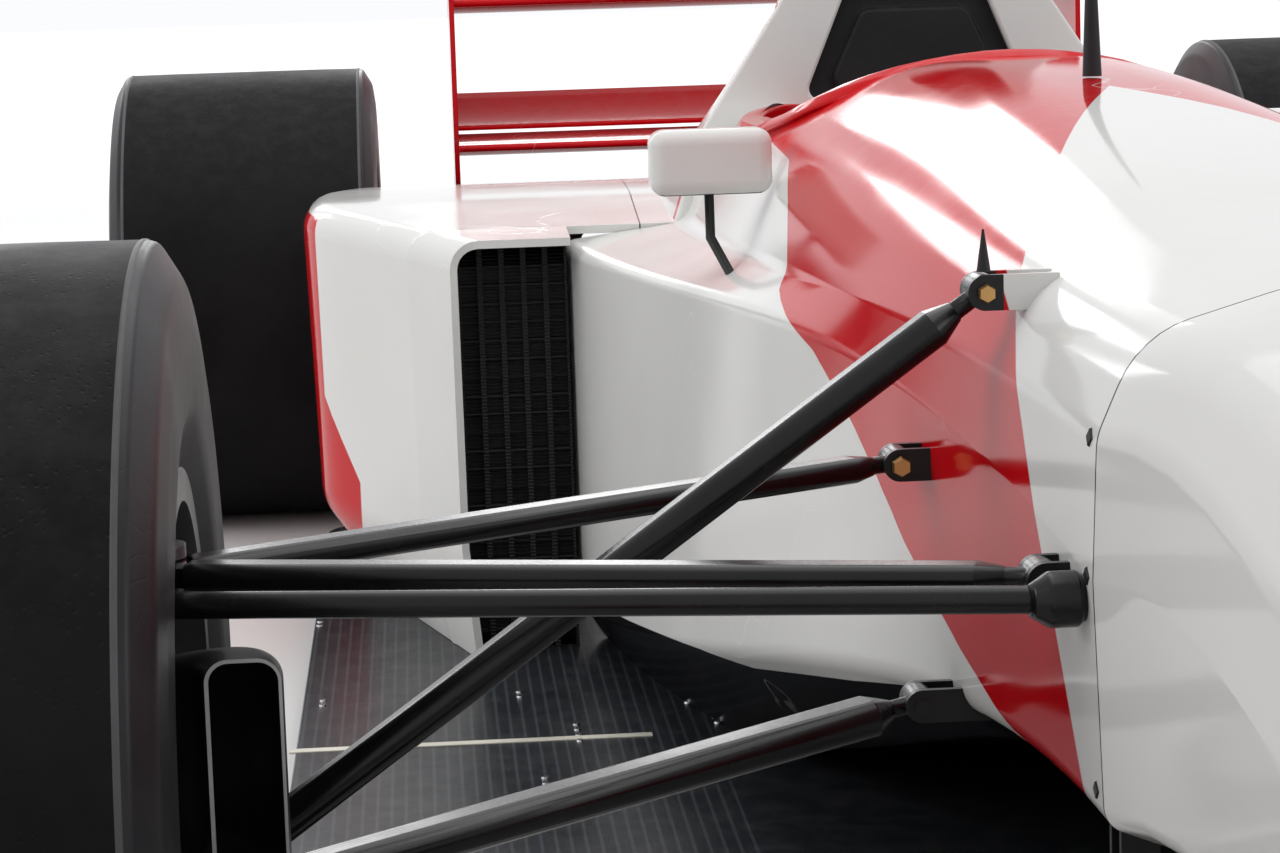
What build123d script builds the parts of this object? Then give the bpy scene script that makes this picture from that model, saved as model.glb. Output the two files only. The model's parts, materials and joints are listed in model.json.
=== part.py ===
from build123d import *
import math
import os

# Open wheel racing car, whole vehicle, in millimetres.
# Z is up, the nose points along -Y and the car's right hand is -X.
# While it is being drawn, a place along the car is a "station": the distance behind the front axle.
# At the very end every piece is shifted so that the origin lies under the middle of the car.

os.makedirs("parts", exist_ok=True)

# Main sizes of the car
WHEELBASE = 2902
FRONT_TRACK = 1690
REAR_TRACK = 1615
FRONT_OVERHANG = 1080
REAR_OVERHANG = 500
CAR_HEIGHT = 950
FRONT_AXLE_Y = FRONT_OVERHANG - (FRONT_OVERHANG + WHEELBASE + REAR_OVERHANG) / 2
TAIL = WHEELBASE + REAR_OVERHANG
NOSE_TIP = -FRONT_OVERHANG

# Wheels and tyres
FRONT_TYRE_R = 320
FRONT_TYRE_W = 292
REAR_TYRE_R = 330
REAR_TYRE_W = 381
BEAD_R = 165
FLANGE_R = 181
WELL_R = 158
RIM_WALL = 5
RIM_INSET = 9
TYRE_SHOULDER_R = 26
NUT_R = 40
AXLE_R = 26
FRONT_WHEEL_X = FRONT_TRACK / 2
REAR_WHEEL_X = REAR_TRACK / 2

# Brakes
DISC_R = 128
DISC_T = 28
BELL_R = 62
CALIPER_R = 146

# Floor
FLOOR_TOP = 45
FLOOR_T = 12
FLOOR_HALF = 700
FLOOR_FRONT = 430
FLOOR_REAR = 2600
DIFFUSER_END = 3240
DIFFUSER_RISE = 150
DIFFUSER_HALF = 495
SHEET = 5

# Monocoque and nose
TUB_FRONT = -215
TUB_REAR = 1640
TUB_WALL = 14
NOSE_GAP = 0.3
COCKPIT_FRONT = 1066
COCKPIT_REAR = 1618
COCKPIT_HALF = 196
LIP_HEIGHT = 12
LIP_WIDTH = 14

# Side pods
POD_FRONT = 1550
POD_CORNER = 1940
POD_REAR = 2760
POD_HALF = 700
POD_TAIL_HALF = 334
POD_MOUTH_OUT = 528
POD_MOUTH_IN = 391
POD_WALL = 9
POD_ROOT = 120
POD_TOP_FRONT = 506
POD_TOP_CORNER = 527
POD_TOP_REAR = 430
POD_EDGE_R = 32
RADIATOR_SETBACK = 42
RADIATOR_T = 46
RADIATOR_COLUMNS = 5
RADIATOR_FINS = 22

# Engine cover
COVER_WALL = 8
COVER_REAR = 2960
AIRBOX_FLOOR = 800
AIRBOX_TOP = 928
AIRBOX_HALF = 74

# Steering and front suspension
KINGPIN_X = 725
BALL_UP_Z = 437
BALL_LOW_Z = 226
STEER_ARM = 75
RACK_Z = 436
RACK_STATION = -190
BULKHEAD = 70
RACK_R = 13
RACK_BALL_R = 16
RACK_POCKET_R = 24
RACK_POCKET = 168
PIN_GAP = 0.5
EYE_R = 19
EYE_T = 20
PIN_R = 8

# Suspension tubes: height and chord of the streamlined section
UPPER_TUBE = (17, 30)
LOWER_TUBE = (24, 40)
PUSH_TUBE = (23, 34)
REAR_TUBE = (20, 34)
LINK_R = 8

# Wings
FRONT_WING_HALF = 700
REAR_WING_HALF = 500
PLATE_T = 8
WING_GAP = 0.3


# Steering column and wheel
COLUMN_R = 10
COLUMN_FRONT = (0, RACK_STATION + 26, RACK_Z + 3)
COLUMN_REAR = (0, 1176, 566)
STEER_WHEEL_R = 132

# Smaller pieces, joints between them and their play
COVER_FRONT_WALL = 14
HEADREST_T = 14
HEADREST_OUTLINE = [(126, 642, 12), (74, 768, 16), (-74, 768, 16), (-126, 642, 12)]
MIRROR = (286, 1060, 612)
MIRROR_SIZE = (114, 52, 61)
TYRE_GAP = 0.3
WEB_X = 34
WEB_T = 14
RIM_WINDOWS = 8
DISC_X = -30
KINGPIN_OFFSET = KINGPIN_X - FRONT_WHEEL_X
UPRIGHT_IN = KINGPIN_OFFSET + 28
UPRIGHT_OUT = DISC_X - 16
PLAY = 1.0
SEAT_BASE = FLOOR_TOP + TUB_WALL
FORK_T = 8
BOLT_R = 5
RACK_HALF = 212
TRACK_ROD_Z = 433
ROD_EYE_T = 12
ROD_EYE_HOLE = 8.6
JACK_PLACE = (TAIL - 62, 275)
JACK_HALF = 56
JACK_R = 9
PIPE_X = 236
PIPE_R = 34
ENGINE_HALF = PIPE_X - PIPE_R
ENGINE_TOP = 440
ENGINE_END = 2300
GEARBOX_END = 3080
OUTPUT_X = 130
DIFFUSER_FENCES = (120, 300, 492)
FLAP_INNER = 170
FRONT_MAIN = (-1050, 92, 250, 26, 16, 5)
FRONT_FLAPS = [(-824, 134, 140, 16, 10, 18), (-706, 196, 100, 12, 8, 32)]
REAR_LOWER = [(3166, 520, 120, 18, 10, 8), (3262, 548, 118, 14, 10, 26)]
REAR_UPPER = [(3168, 748, 150, 20, 14, 8), (3282, 790, 80, 12, 8, 32), (3326, 848, 92, 10, 8, 54)]
BALL_UP = (KINGPIN_X, 0, BALL_UP_Z)
BALL_LOW = (KINGPIN_X, 0, BALL_LOW_Z)
UPPER_PIVOTS = [(213, -150, 441), (242, 205, 455)]
LOWER_PIVOTS = [(170, -192, 268), (240, 140, 304)]
NECK = 21
NECK_R = 6
COLLAR = 16
TONGUE_HALF = 9.5
CHEEK_T = 5.5
PUSHROD_TOP = (214, 24, 588)
PUSHROD_FOOT = (676, 14, 262)

# Brake duct: middle across, station, turn of the section, its width and its height
DUCT = [(668, -128, 0, 44, 142), (676, -88, 16, 44, 138), (703, -56, 52, 42, 122), (756, -42, 90, 38, 100)]
DUCT_Z = 339
DUCT_WALL = 2.5
# Front axle: where it starts outward of the kingpin, and the room the duct leaves round it
AXLE_IN = 20
AXLE_ROOM = 6
REAR_BALL_X = REAR_WHEEL_X + KINGPIN_OFFSET
REAR_BALL_UP = (REAR_BALL_X, WHEELBASE, 447)
REAR_BALL_LOW = (REAR_BALL_X, WHEELBASE, 236)
REAR_UPPER_PIVOTS = [(150, 2800, 330), (140, 3030, 322)]
REAR_LOWER_PIVOTS = [(154, 2780, 176), (136, 3040, 190)]


def section(station, corners, centre=0.0, closed_side=False):
    """Cross-section across the car. Each corner is (x, z, radius); a body of the car is mirrored on X."""
    points = [(x, z) for x, z, radius in corners]
    radii = [radius for x, z, radius in corners]
    if not closed_side:
        points += [(2 * centre - x, z) for x, z, radius in reversed(corners)]
        radii += list(reversed(radii))
    edges = FilletPolyline(*points, radius=radii, close=True).edges()
    plane = Plane(origin=(0, station, 0), x_dir=(1, 0, 0), z_dir=(0, -1, 0))
    return plane * make_face(edges)


def body_loft(table, ruled=False):
    """Loft through a table of (station, corners)."""
    return loft([section(station, corners) for station, corners in table], ruled=ruled)


def shrunk(table, wall):
    """The same table with every section pulled in by a wall; a negative wall lets it grow."""
    result = []
    for station, corners in table:
        low = min(z for x, z, radius in corners)
        high = max(z for x, z, radius in corners)
        inner = []
        for x, z, radius in corners:
            share = (z - low) / (high - low)
            inner.append((x - wall, z + wall * (1 - 2 * share), max(radius - wall, 4)))
        result.append((station, inner))
    return result


def shrunk_sides(table, wall):
    """The same table with its sides and crown pulled in by a wall, its first corner left alone."""
    result = []
    for station, corners in table:
        inner = [corners[0]]
        for x, z, radius in corners[1:]:
            inner.append((x - wall, z - wall * 0.6, max(radius - wall, 4)))
        result.append((station, inner))
    return result


def front_prism(corners, y_low, y_high):
    """Block from a front outline; each corner is (x, z, radius)."""
    face = section(y_low, corners, closed_side=True)
    return extrude(face, y_high - y_low, dir=(0, 1, 0))


def slab(x_range, y_range, z_range):
    """Plain block between named limits."""
    size = [high - low for low, high in (x_range, y_range, z_range)]
    middle = [(high + low) / 2 for low, high in (x_range, y_range, z_range)]
    return Pos(*middle) * Box(*size)


def plan_prism(corners, z_low, z_high):
    """Block from a plan outline; each corner is (x, station, radius)."""
    points = [(x, y) for x, y, radius in corners]
    radii = [radius for x, y, radius in corners]
    face = make_face(FilletPolyline(*points, radius=radii, close=True).edges())
    return extrude(Plane(origin=(0, 0, z_low)) * face, z_high - z_low, dir=(0, 0, 1))


def side_prism(corners, x_low, x_high):
    """Block from a side outline; each corner is (station, z, radius)."""
    points = [(y, z) for y, z, radius in corners]
    radii = [radius for y, z, radius in corners]
    face = make_face(FilletPolyline(*points, radius=radii, close=True).edges())
    plane = Plane(origin=(x_low, 0, 0), x_dir=(0, 1, 0), z_dir=(1, 0, 0))
    return extrude(plane * face, x_high - x_low, dir=(1, 0, 0))


def rod(start, end, radius):
    """Round bar between two points."""
    line = Vector(*end) - Vector(*start)
    return extrude(Plane(origin=start, z_dir=line) * Circle(radius), line.length)


def blade(start, end, size):
    """Streamlined tube between two points: size is (height, chord), its chord lies along the car."""
    line = Vector(*end) - Vector(*start)
    height, chord = size
    plane = Plane(origin=start, x_dir=line.cross(Vector(0, 0, 1)), z_dir=line)
    return extrude(plane * SlotOverall(chord, height), line.length)


def eye(centre, axis, radius, width):
    """Flat round eye, centred on a pivot."""
    plane = Plane(origin=centre, z_dir=axis)
    return extrude(plane * Circle(radius), width / 2, both=True)


def mirrored(shape):
    """The same piece on the other side of the car."""
    return mirror(shape, about=Plane.YZ)


def write(shape, name):
    """Shift a finished piece to the car's own origin and export it."""
    export_step(Pos(0, FRONT_AXLE_Y, 0) * shape, f"parts/{name}.step")


def write_pair(shape, name):
    """Export a piece drawn on the car's left, and its mirror image."""
    write(shape, f"{name}_left")
    write(mirrored(shape), f"{name}_right")


# Monocoque: (station, corners of the half section from keel to crown as x, z, radius)
TUB = [
    (TUB_FRONT,
     [(146, 294, 20), (192, 312, 16), (197, 450, 30), (194, 530, 40), (170, 585, 70), (75, 612, 180)]),
    (350, [(160, 225, 30), (236, 278, 25), (234, 500, 30), (224, 542, 40), (196, 608, 100), (90, 662, 200)]),
    (1020, [(240, 60, 25), (324, 160, 25), (303, 494, 18), (252, 524, 30), (206, 634, 150), (98, 700, 190)]),
    (TUB_REAR,
     [(370, 48, 12), (396, 92, 16), (402, 495, 18), (262, 512, 30), (234, 598, 30), (180, 630, 28)]),
]

# Nose cone, from the tub's front face to the tip
NOSE = [
    (TUB_FRONT - NOSE_GAP, TUB[0][1]),
    (-640, [(96, 214, 20), (142, 236, 16), (150, 330, 30), (146, 396, 36), (116, 446, 40), (50, 464, 30)]),
    (-980, [(44, 152, 12), (70, 164, 12), (74, 196, 16), (72, 224, 16), (58, 250, 18), (26, 260, 16)]),
    (NOSE_TIP, [(16, 182, 5), (27, 188, 5), (29, 198, 6), (28, 206, 6), (22, 214, 6), (10, 218, 5)]),
]

# Engine cover, from the base to the crown
COVER = [
    (TUB_REAR, [(285, 470, 8), (246, 606, 35), (150, 752, 60), (112, 880, 40), (72, 950, 44)]),
    (2080, [(300, 452, 8), (232, 560, 50), (122, 688, 60), (78, 800, 50), (42, 860, 36)]),
    (2520, [(250, 416, 8), (186, 500, 50), (92, 582, 50), (52, 656, 34), (26, 690, 22)]),
    (COVER_REAR, [(120, 372, 8), (96, 430, 30), (62, 478, 30), (36, 512, 20), (16, 532, 12)]),
]

tub_outer = body_loft(TUB) - slab((-500, 500), (TUB_FRONT - 10, TUB_REAR + 10), (-200, FLOOR_TOP))
cover_outer = body_loft(COVER)


def make_monocoque():
    """Hollow tub with its cockpit opening, raised coaming lip, dash bulkhead and steering bores."""
    inner = body_loft(shrunk(TUB, TUB_WALL))
    room = slab((-500, 500), (TUB_FRONT + BULKHEAD, TUB_REAR - TUB_WALL), (FLOOR_TOP + TUB_WALL, 800))
    cavity = inner & room
    opening = [
        (150, COCKPIT_FRONT, 120), (COCKPIT_HALF, 1290, 300), (COCKPIT_HALF, 1500, 300),
        (150, COCKPIT_REAR, 60), (-150, COCKPIT_REAR, 60), (-COCKPIT_HALF, 1500, 300),
        (-COCKPIT_HALF, 1290, 300), (-150, COCKPIT_FRONT, 120),
    ]
    hole = plan_prism(opening, 470, 800)
    moved = {COCKPIT_FRONT: -LIP_WIDTH, COCKPIT_REAR: LIP_WIDTH}
    rim = [(x + math.copysign(LIP_WIDTH, x), y + moved.get(y, 0), r) for x, y, r in opening]
    lip = (plan_prism(rim, 560, 800) & body_loft(shrunk(TUB, -LIP_HEIGHT))) - cavity
    shell = tub_outer + lip - cavity
    dash_front = COCKPIT_FRONT - 66
    dash = slab((-500, 500), (dash_front, dash_front + 12), (470, 800)) & tub_outer
    shell = shell + (dash - slab((-120, 120), (dash_front - 1, dash_front + 13), (440, 540)))
    shell = shell - hole
    bore = rod((-300, RACK_STATION, RACK_Z), (300, RACK_STATION, RACK_Z), RACK_R + PIN_GAP)
    pocket = rod((RACK_POCKET, RACK_STATION, RACK_Z), (300, RACK_STATION, RACK_Z), RACK_POCKET_R)
    shell = shell - bore - pocket - mirrored(pocket)
    return shell - rod(COLUMN_FRONT, COLUMN_REAR, COLUMN_R + PIN_GAP)


def make_steering_wheel():
    """Small round wheel with a flat boss, three spokes and its shaft."""
    axis = Vector(*COLUMN_REAR) - Vector(*COLUMN_FRONT)
    plane = Plane(origin=COLUMN_REAR, x_dir=(1, 0, 0), z_dir=axis)
    ring = plane * Torus(STEER_WHEEL_R - 12, 12)
    boss = extrude(plane * RectangleRounded(120, 70, 14), 12, both=True)
    spokes = extrude(plane * Rectangle(2 * (STEER_WHEEL_R - 14), 34), 4, both=True)
    spokes += extrude(plane * Pos(0, -STEER_WHEEL_R / 2 + 6) * Rectangle(34, STEER_WHEEL_R - 14), 4, both=True)
    shaft = rod(COLUMN_FRONT, COLUMN_REAR, COLUMN_R)
    return ring + boss + spokes, shaft - boss


# Side pod: station, half width, height of the top, tuck of the sill under the side
POD = [
    (POD_FRONT, POD_MOUTH_OUT, POD_TOP_FRONT, 6),
    (POD_CORNER - 50, POD_HALF - 10, POD_TOP_CORNER - 3, 38),
    (POD_CORNER, POD_HALF, POD_TOP_CORNER, 40),
    (POD_CORNER + 200, POD_HALF, POD_TOP_CORNER - 1, 40),
    (POD_CORNER + 350, POD_HALF - 38, POD_TOP_CORNER - 6, 40),
    (POD_CORNER + 460, POD_HALF - 104, POD_TOP_CORNER - 15, 40),
    (POD_REAR - 240, POD_TAIL_HALF + 172, POD_TOP_REAR + 68, 40),
    (POD_REAR - 120, POD_TAIL_HALF + 80, POD_TOP_REAR + 44, 36),
    (POD_REAR, POD_TAIL_HALF, POD_TOP_REAR, 30),
]


def pod_section(station, half, top, tuck, wall=0.0):
    """One section of the left pod, closed on the car's side; a wall pulls it in and opens it below."""
    base = FLOOR_TOP if wall == 0 else 0
    inner_x = POD_ROOT if wall == 0 else POD_ROOT - 40
    radius = POD_EDGE_R - wall
    out = half - wall
    corners = [
        (inner_x, base, 0), (out - 2.2 * tuck, base, 0), (out - tuck, 124, 10), (out - 0.25 * tuck, 165, 20),
        (out, top - wall, radius), (inner_x, top - wall, 0),
    ]
    return section(station, corners, closed_side=True)


def beyond(end, neighbour, reach):
    """Row that carries a table on in line, past its end."""
    share = reach / abs(end[0] - neighbour[0])
    return tuple(a + (a - b) * share for a, b in zip(end, neighbour))


def make_side_pod():
    """Left pod: ruled through its table, hollow, open at the mouth, below and behind."""
    outer = loft([pod_section(*row) for row in POD], ruled=True)
    through = [beyond(POD[0], POD[1], 20)] + POD[1:-1] + [beyond(POD[-1], POD[-2], 20)]
    inner = loft([pod_section(*row, wall=POD_WALL) for row in through], ruled=True)
    beside_tub = plan_prism([
        (0, POD_FRONT - 1, 0), (tub_flank(POD_FRONT), POD_FRONT - 1, 0),
        (tub_flank(TUB_REAR - 1), TUB_REAR, 0), (0, TUB_REAR, 0),
    ], -10, CAR_HEIGHT)
    return outer - inner - beside_tub - cover_outer


def tub_flank(station):
    """Half width of the tub beside the pod, with the gap that the pod keeps from it."""
    slice_of_tub = tub_outer & slab((-500, 500), (station - 1, station + 1), (FLOOR_TOP, POD_TOP_CORNER))
    return slice_of_tub.bounding_box().max.X + WING_GAP


def make_engine_cover():
    """Hollow cover open below, with a front wall cut for the headrest and for the airbox mouth."""
    room = slab((-400, 400), (TUB_REAR + COVER_FRONT_WALL, COVER_REAR - COVER_WALL), (0, CAR_HEIGHT))
    deep = [(station, [(corners[0][0] - COVER_WALL, 300, 4)] + corners[1:]) for station, corners in COVER]
    cavity = body_loft(shrunk_sides(deep, COVER_WALL)) & room
    recess = front_prism(HEADREST_OUTLINE, TUB_REAR - 1, TUB_REAR + COVER_FRONT_WALL + 1)
    mouth_outline = [
        (AIRBOX_HALF, AIRBOX_FLOOR, 24), (AIRBOX_HALF - 14, AIRBOX_TOP, 40),
        (-AIRBOX_HALF + 14, AIRBOX_TOP, 40), (-AIRBOX_HALF, AIRBOX_FLOOR, 24),
    ]
    mouth = front_prism(mouth_outline, TUB_REAR - 1, TUB_REAR + COVER_FRONT_WALL + 1)
    return cover_outer - cavity - recess - mouth


def make_headrest():
    """Dark panel behind the opening under the airbox, seated on the back of the cover's front wall."""
    grown = [(x + math.copysign(9, x), z + (8 if z > 700 else -8), radius) for x, z, radius in HEADREST_OUTLINE]
    back = TUB_REAR + COVER_FRONT_WALL
    return front_prism(grown, back, back + HEADREST_T) + front_prism(
        [(x * 0.8, 650 if z < 700 else 740, 16) for x, z, radius in HEADREST_OUTLINE], back - 8, back
    )


def make_seat():
    """Moulded bucket seat: a reclined side profile with a scooped channel."""
    profile = [
        (1180, SEAT_BASE, 10), (1500, SEAT_BASE, 10), (1612, 560, 14), (1584, 566, 10), (1420, 200, 60),
        (1180, 170, 10),
    ]
    shell = side_prism(profile, -190, 190)
    scoop = [(1190, 110, 0), (1458, 116, 60), (1590, 600, 0), (1190, 600, 0)]
    return shell - side_prism(scoop, -165, 165)


def make_mirror():
    """Mirror housing on a thin bent stalk that stands on the tub."""
    x, y, z = MIRROR
    width, depth, height = MIRROR_SIZE
    housing = fillet(Box(width, depth, height).edges(), 14)
    glass_bed = Pos(0, depth / 2, 0) * Box(width - 22, 4, height - 20)
    low = (x + 2, y - 5, z - height / 2 + 2)
    knee = (x + 2, y - 8, z - height / 2 - 40)
    foot = (x - 14, y - 40, z - height / 2 - 74)
    stalk = rod(low, knee, 4.5) + Pos(*knee) * Sphere(4.5) + rod(knee, foot, 4.5)
    return Pos(x, y, z) * (housing - glass_bed) + (stalk - tub_outer)


def turned(profile):
    """Ring about the X axis from a closed outline of (x, radius from the axle, corner radius)."""
    points = [(x, r) for x, r, corner in profile]
    radii = [corner for x, r, corner in profile]
    face = make_face(FilletPolyline(*points, radius=radii, close=True).edges())
    return revolve(Plane.XZ * face, axis=Axis.X)


def make_tyre(width, radius):
    """Slick tyre: flat tread, round shoulders, straight walls, beads inside the rim's flanges."""
    bead = width / 2 - RIM_INSET - RIM_WALL - TYRE_GAP
    half = [
        (bead, BEAD_R + TYRE_GAP, 0), (bead, FLANGE_R + 4, 4), (width / 2, FLANGE_R + 34, 40),
        (width / 2, radius - 40, 60), (width / 2 - TYRE_SHOULDER_R, radius, TYRE_SHOULDER_R),
    ]
    return turned(half + [(-x, r, corner) for x, r, corner in reversed(half)])


def make_rim(width):
    """Deep one-piece rim: barrel with flanges and a drilled centre that the hub clamps."""
    half = width / 2 - RIM_INSET
    outer = [(half, FLANGE_R, 1), (half - RIM_WALL, FLANGE_R, 1), (half - RIM_WALL, BEAD_R, 0),
             (half - 38, BEAD_R, 0), (half - 52, WELL_R, 0)]
    inner = [(half - 52, WELL_R - RIM_WALL, 0), (half - 38, BEAD_R - RIM_WALL, 0), (half, BEAD_R - RIM_WALL, 0)]
    ring = outer + [(-x, r, c) for x, r, c in reversed(outer)]
    ring += [(-x, r, c) for x, r, c in reversed(inner)] + inner
    barrel = turned(ring)
    barrel_r = WELL_R - RIM_WALL + 1
    web = turned([
        (WEB_X, AXLE_R + PIN_GAP, 0), (WEB_X, 60, 20), (WEB_X - 14, 118, 30), (WEB_X - 6, barrel_r, 0),
        (WEB_X + 10, barrel_r, 0), (WEB_X, 118, 30), (WEB_X + WEB_T, 60, 20),
        (WEB_X + WEB_T, AXLE_R + PIN_GAP, 0),
    ])
    for index in range(RIM_WINDOWS):
        slot = Plane.YZ * Pos(0, 106) * SlotOverall(46, 26, rotation=90)
        window = extrude(slot, 60, both=True)
        web = web - Rot(360 * index / RIM_WINDOWS, 0, 0) * Pos(WEB_X, 0, 0) * window
    return barrel + web


def make_hub(inner_end):
    """Axle, drive flange, bell, brake disc and wheel nut, all turning with the wheel."""
    face = DISC_X + DISC_T
    disc = turned([(DISC_X, 84, 0), (DISC_X, DISC_R, 2), (face, DISC_R, 2), (face, 84, 0)])
    bell = turned([
        (DISC_X + 8, 50, 0), (DISC_X + 8, 86, 0), (face - 8, 86, 0), (face - 8, BELL_R, 3), (WEB_X, BELL_R - 6, 0),
        (WEB_X, 50, 0),
    ])
    flange = turned([(WEB_X - 12, 10, 0), (WEB_X - 12, 52, 0), (WEB_X, 52, 0), (WEB_X, 10, 0)])
    axle = rod((inner_end, 0, 0), (WEB_X + WEB_T + 22, 0, 0), AXLE_R)
    nut_face = Plane(origin=(WEB_X + WEB_T, 0, 0), x_dir=(0, 1, 0), z_dir=(1, 0, 0)) * RegularPolygon(NUT_R, 6)
    nut = extrude(nut_face, 26)
    return disc + bell + flange + axle + nut


def make_upright(ball_up, ball_low):
    """Casting about the axle: bearing housing, web, and a fork with its pin at each ball joint."""
    king = KINGPIN_OFFSET
    housing = rod((UPRIGHT_IN, 0, 0), (UPRIGHT_OUT, 0, 0), 50)
    web = slab((UPRIGHT_IN, UPRIGHT_IN + 36), (-26, 26), (ball_low - 18, ball_up + 18))
    shape = housing + web
    half_gap = EYE_T / 2 + PLAY
    for level in (ball_up, ball_low):
        for side in (-1, 1):
            low = level + (half_gap if side > 0 else -half_gap - FORK_T)
            arm = slab((king, UPRIGHT_IN + 6), (-EYE_R, EYE_R), (low, low + FORK_T))
            shape += arm + Pos(king, 0, low + FORK_T / 2) * Cylinder(EYE_R, FORK_T)
        shape += Pos(king, 0, level) * Cylinder(PIN_R, EYE_T + 2 * PLAY + FORK_T)
    plate = slab((UPRIGHT_IN + 34, UPRIGHT_IN + 46), (20, 128), (-46, 46))
    return shape + plate - rod((UPRIGHT_IN - 20, 0, 0), (UPRIGHT_OUT + 20, 0, 0), AXLE_R + PLAY)


def make_caliper():
    """Brake caliper over the trailing edge of the disc, bolted to the upright's plate."""
    start, end = UPRIGHT_IN + 46, DISC_X + DISC_T + 16
    low, high = DISC_X - 5, DISC_X + DISC_T + 5
    ring = turned([(start, 88, 4), (start, CALIPER_R, 6), (end, CALIPER_R, 6), (end, 88, 4)])
    slot = turned([(low, 60, 0), (low, DISC_R + 6, 0), (high, DISC_R + 6, 0), (high, 60, 0)])
    return (ring - slot) & slab((-200, 200), (78, 160), (-82, 82))


def tongue(pivot):
    """Inner end of a wishbone arm: an eye with its bolt hole along the car."""
    return eye(pivot, (0, 1, 0), 11, 2 * TONGUE_HALF)


def tongue_hole(pivot):
    """Bolt hole of a tongue."""
    return eye(pivot, (0, 1, 0), BOLT_R + PIN_GAP, 40)


def strut(start, pivot, size):
    """Streamlined tube drawn in through a collar to a round neck, which ends in a tongue."""
    line = (Vector(*pivot) - Vector(*start)).normalized()
    height, chord = size
    wide, thin = Vector(*pivot) - line * (NECK + COLLAR), Vector(*pivot) - line * NECK
    across = line.cross(Vector(0, 0, 1))
    collar = loft([
        Plane(origin=wide, x_dir=across, z_dir=line) * SlotOverall(chord, height),
        Plane(origin=thin, x_dir=across, z_dir=line) * SlotOverall(2 * NECK_R + 3, 2 * NECK_R + 1),
    ])
    return blade(start, wide, size) + collar + rod(thin, pivot, NECK_R) + tongue(pivot)


def make_wishbone(ball, pivots, size):
    """A-arm with an outer eye on the kingpin and a tongue at each inner pivot."""
    x, y, z = ball
    arm = eye(ball, (0, 0, 1), EYE_R, EYE_T)
    for pivot in pivots:
        direction = (Vector(*pivot) - Vector(*ball)).normalized()
        arm += strut(Vector(*ball) + direction * (EYE_R + 3), pivot, size)
    inner = x - 62
    spread = [(inner, y + (pivot[1] - y) * 62 / (x - pivot[0]), 0) for pivot in pivots]
    web_plan = [(x - 8, y - 14, 0), spread[0], spread[1], (x - 8, y + 14, 0)]
    height = min(size[0] * 0.7, EYE_T - 2)
    arm += plan_prism(web_plan, z - height / 2, z + height / 2)
    arm -= eye(ball, (0, 0, 1), PIN_R + PIN_GAP, 60)
    for pivot in pivots:
        arm -= tongue_hole(pivot)
    return arm


def make_bracket(pivot, carrier, reach=46, hanging=False):
    """Two cheeks and a bolt that hold a tongue, standing on the tub's flank or hanging below its keel."""
    x, y, z = pivot
    shape = None
    for side in (-1, 1):
        near = y + side * (TONGUE_HALF + PIN_GAP)
        far = near + side * CHEEK_T
        if hanging:
            cheek = slab((x - 11, x + 11), (min(near, far), max(near, far)), (z, z + reach))
        else:
            cheek = slab((x - reach, x), (min(near, far), max(near, far)), (z - 11, z + 11))
        cheek += eye((x, (near + far) / 2, z), (0, 1, 0), 11, CHEEK_T)
        shape = cheek if shape is None else shape + cheek
    end = TONGUE_HALF + PIN_GAP + CHEEK_T
    shape += rod((x, y - end - 3, z), (x, y + end, z), BOLT_R)
    shape += rod((x, y + end, z), (x, y + end + 7, z), BOLT_R + 3.5)
    return shape - carrier


def make_steering_rack():
    """Rack bar through the tub with a ball housing and a track rod at each end; its eye laps the arm."""
    end = [(RACK_HALF - 14, RACK_R, 0), (RACK_HALF - 11, RACK_BALL_R, 2), (RACK_HALF + 5, RACK_BALL_R, 6),
           (RACK_HALF + 16, LINK_R + 1, 0), (RACK_HALF + 16, 0, 0)]
    bar = Pos(0, RACK_STATION, RACK_Z) * turned(end + [(-x, r, corner) for x, r, corner in reversed(end)])
    outer = Vector(KINGPIN_X, -STEER_ARM, TRACK_ROD_Z)
    inner = Vector(RACK_HALF, RACK_STATION, RACK_Z)
    line = (outer - inner).normalized()
    link = rod(inner + line * 4, outer - line * 14, LINK_R)
    link += eye(outer, (0, 0, 1), 17, ROD_EYE_T)
    link -= eye(outer, (0, 0, 1), ROD_EYE_HOLE, 60)
    return bar + link + mirrored(link)


def duct_loft(grow, reach):
    """Body of the left brake duct; grow changes its section and reach carries its two ends on."""
    faces = []
    for index, (x, station, turn, width, height) in enumerate(DUCT):
        turned_by = math.radians(turn)
        ahead = reach if index == 0 else -reach if index == len(DUCT) - 1 else 0
        origin = (x - ahead * math.sin(turned_by), station - ahead * math.cos(turned_by), DUCT_Z)
        plane = Plane(origin=origin, x_dir=(math.cos(turned_by), -math.sin(turned_by), 0),
                      z_dir=(math.sin(turned_by), math.cos(turned_by), 0))
        faces.append(plane * RectangleRounded(width + 2 * grow, height + 2 * grow, 14 + grow))
    return loft(faces)


def make_brake_duct():
    """Left brake duct: a scoop with its mouth forward, whose body turns outward to the bearing housing."""
    return duct_loft(0, 0) - duct_loft(-DUCT_WALL, 4)


def steering_arm():
    """Arm forged on the front upright: it reaches forward under the track rod's eye and carries its pin."""
    king = KINGPIN_OFFSET
    level = TRACK_ROD_Z - FRONT_TYRE_R
    low = level - ROD_EYE_T / 2 - 3 - 8
    arm = plan_prism([(UPRIGHT_IN + 4, -10, 0), (king - 13, -STEER_ARM, 0), (king + 13, -STEER_ARM - 2, 0),
                      (UPRIGHT_IN + 30, -20, 0)], low, low + 8)
    pad = Pos(king, -STEER_ARM, low + 4) * Cylinder(13, 8)
    pin = Pos(king, -STEER_ARM, low + 8 + (ROD_EYE_T + 5) / 2) * Cylinder(5, ROD_EYE_T + 5)
    return arm + pad + pin


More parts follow.
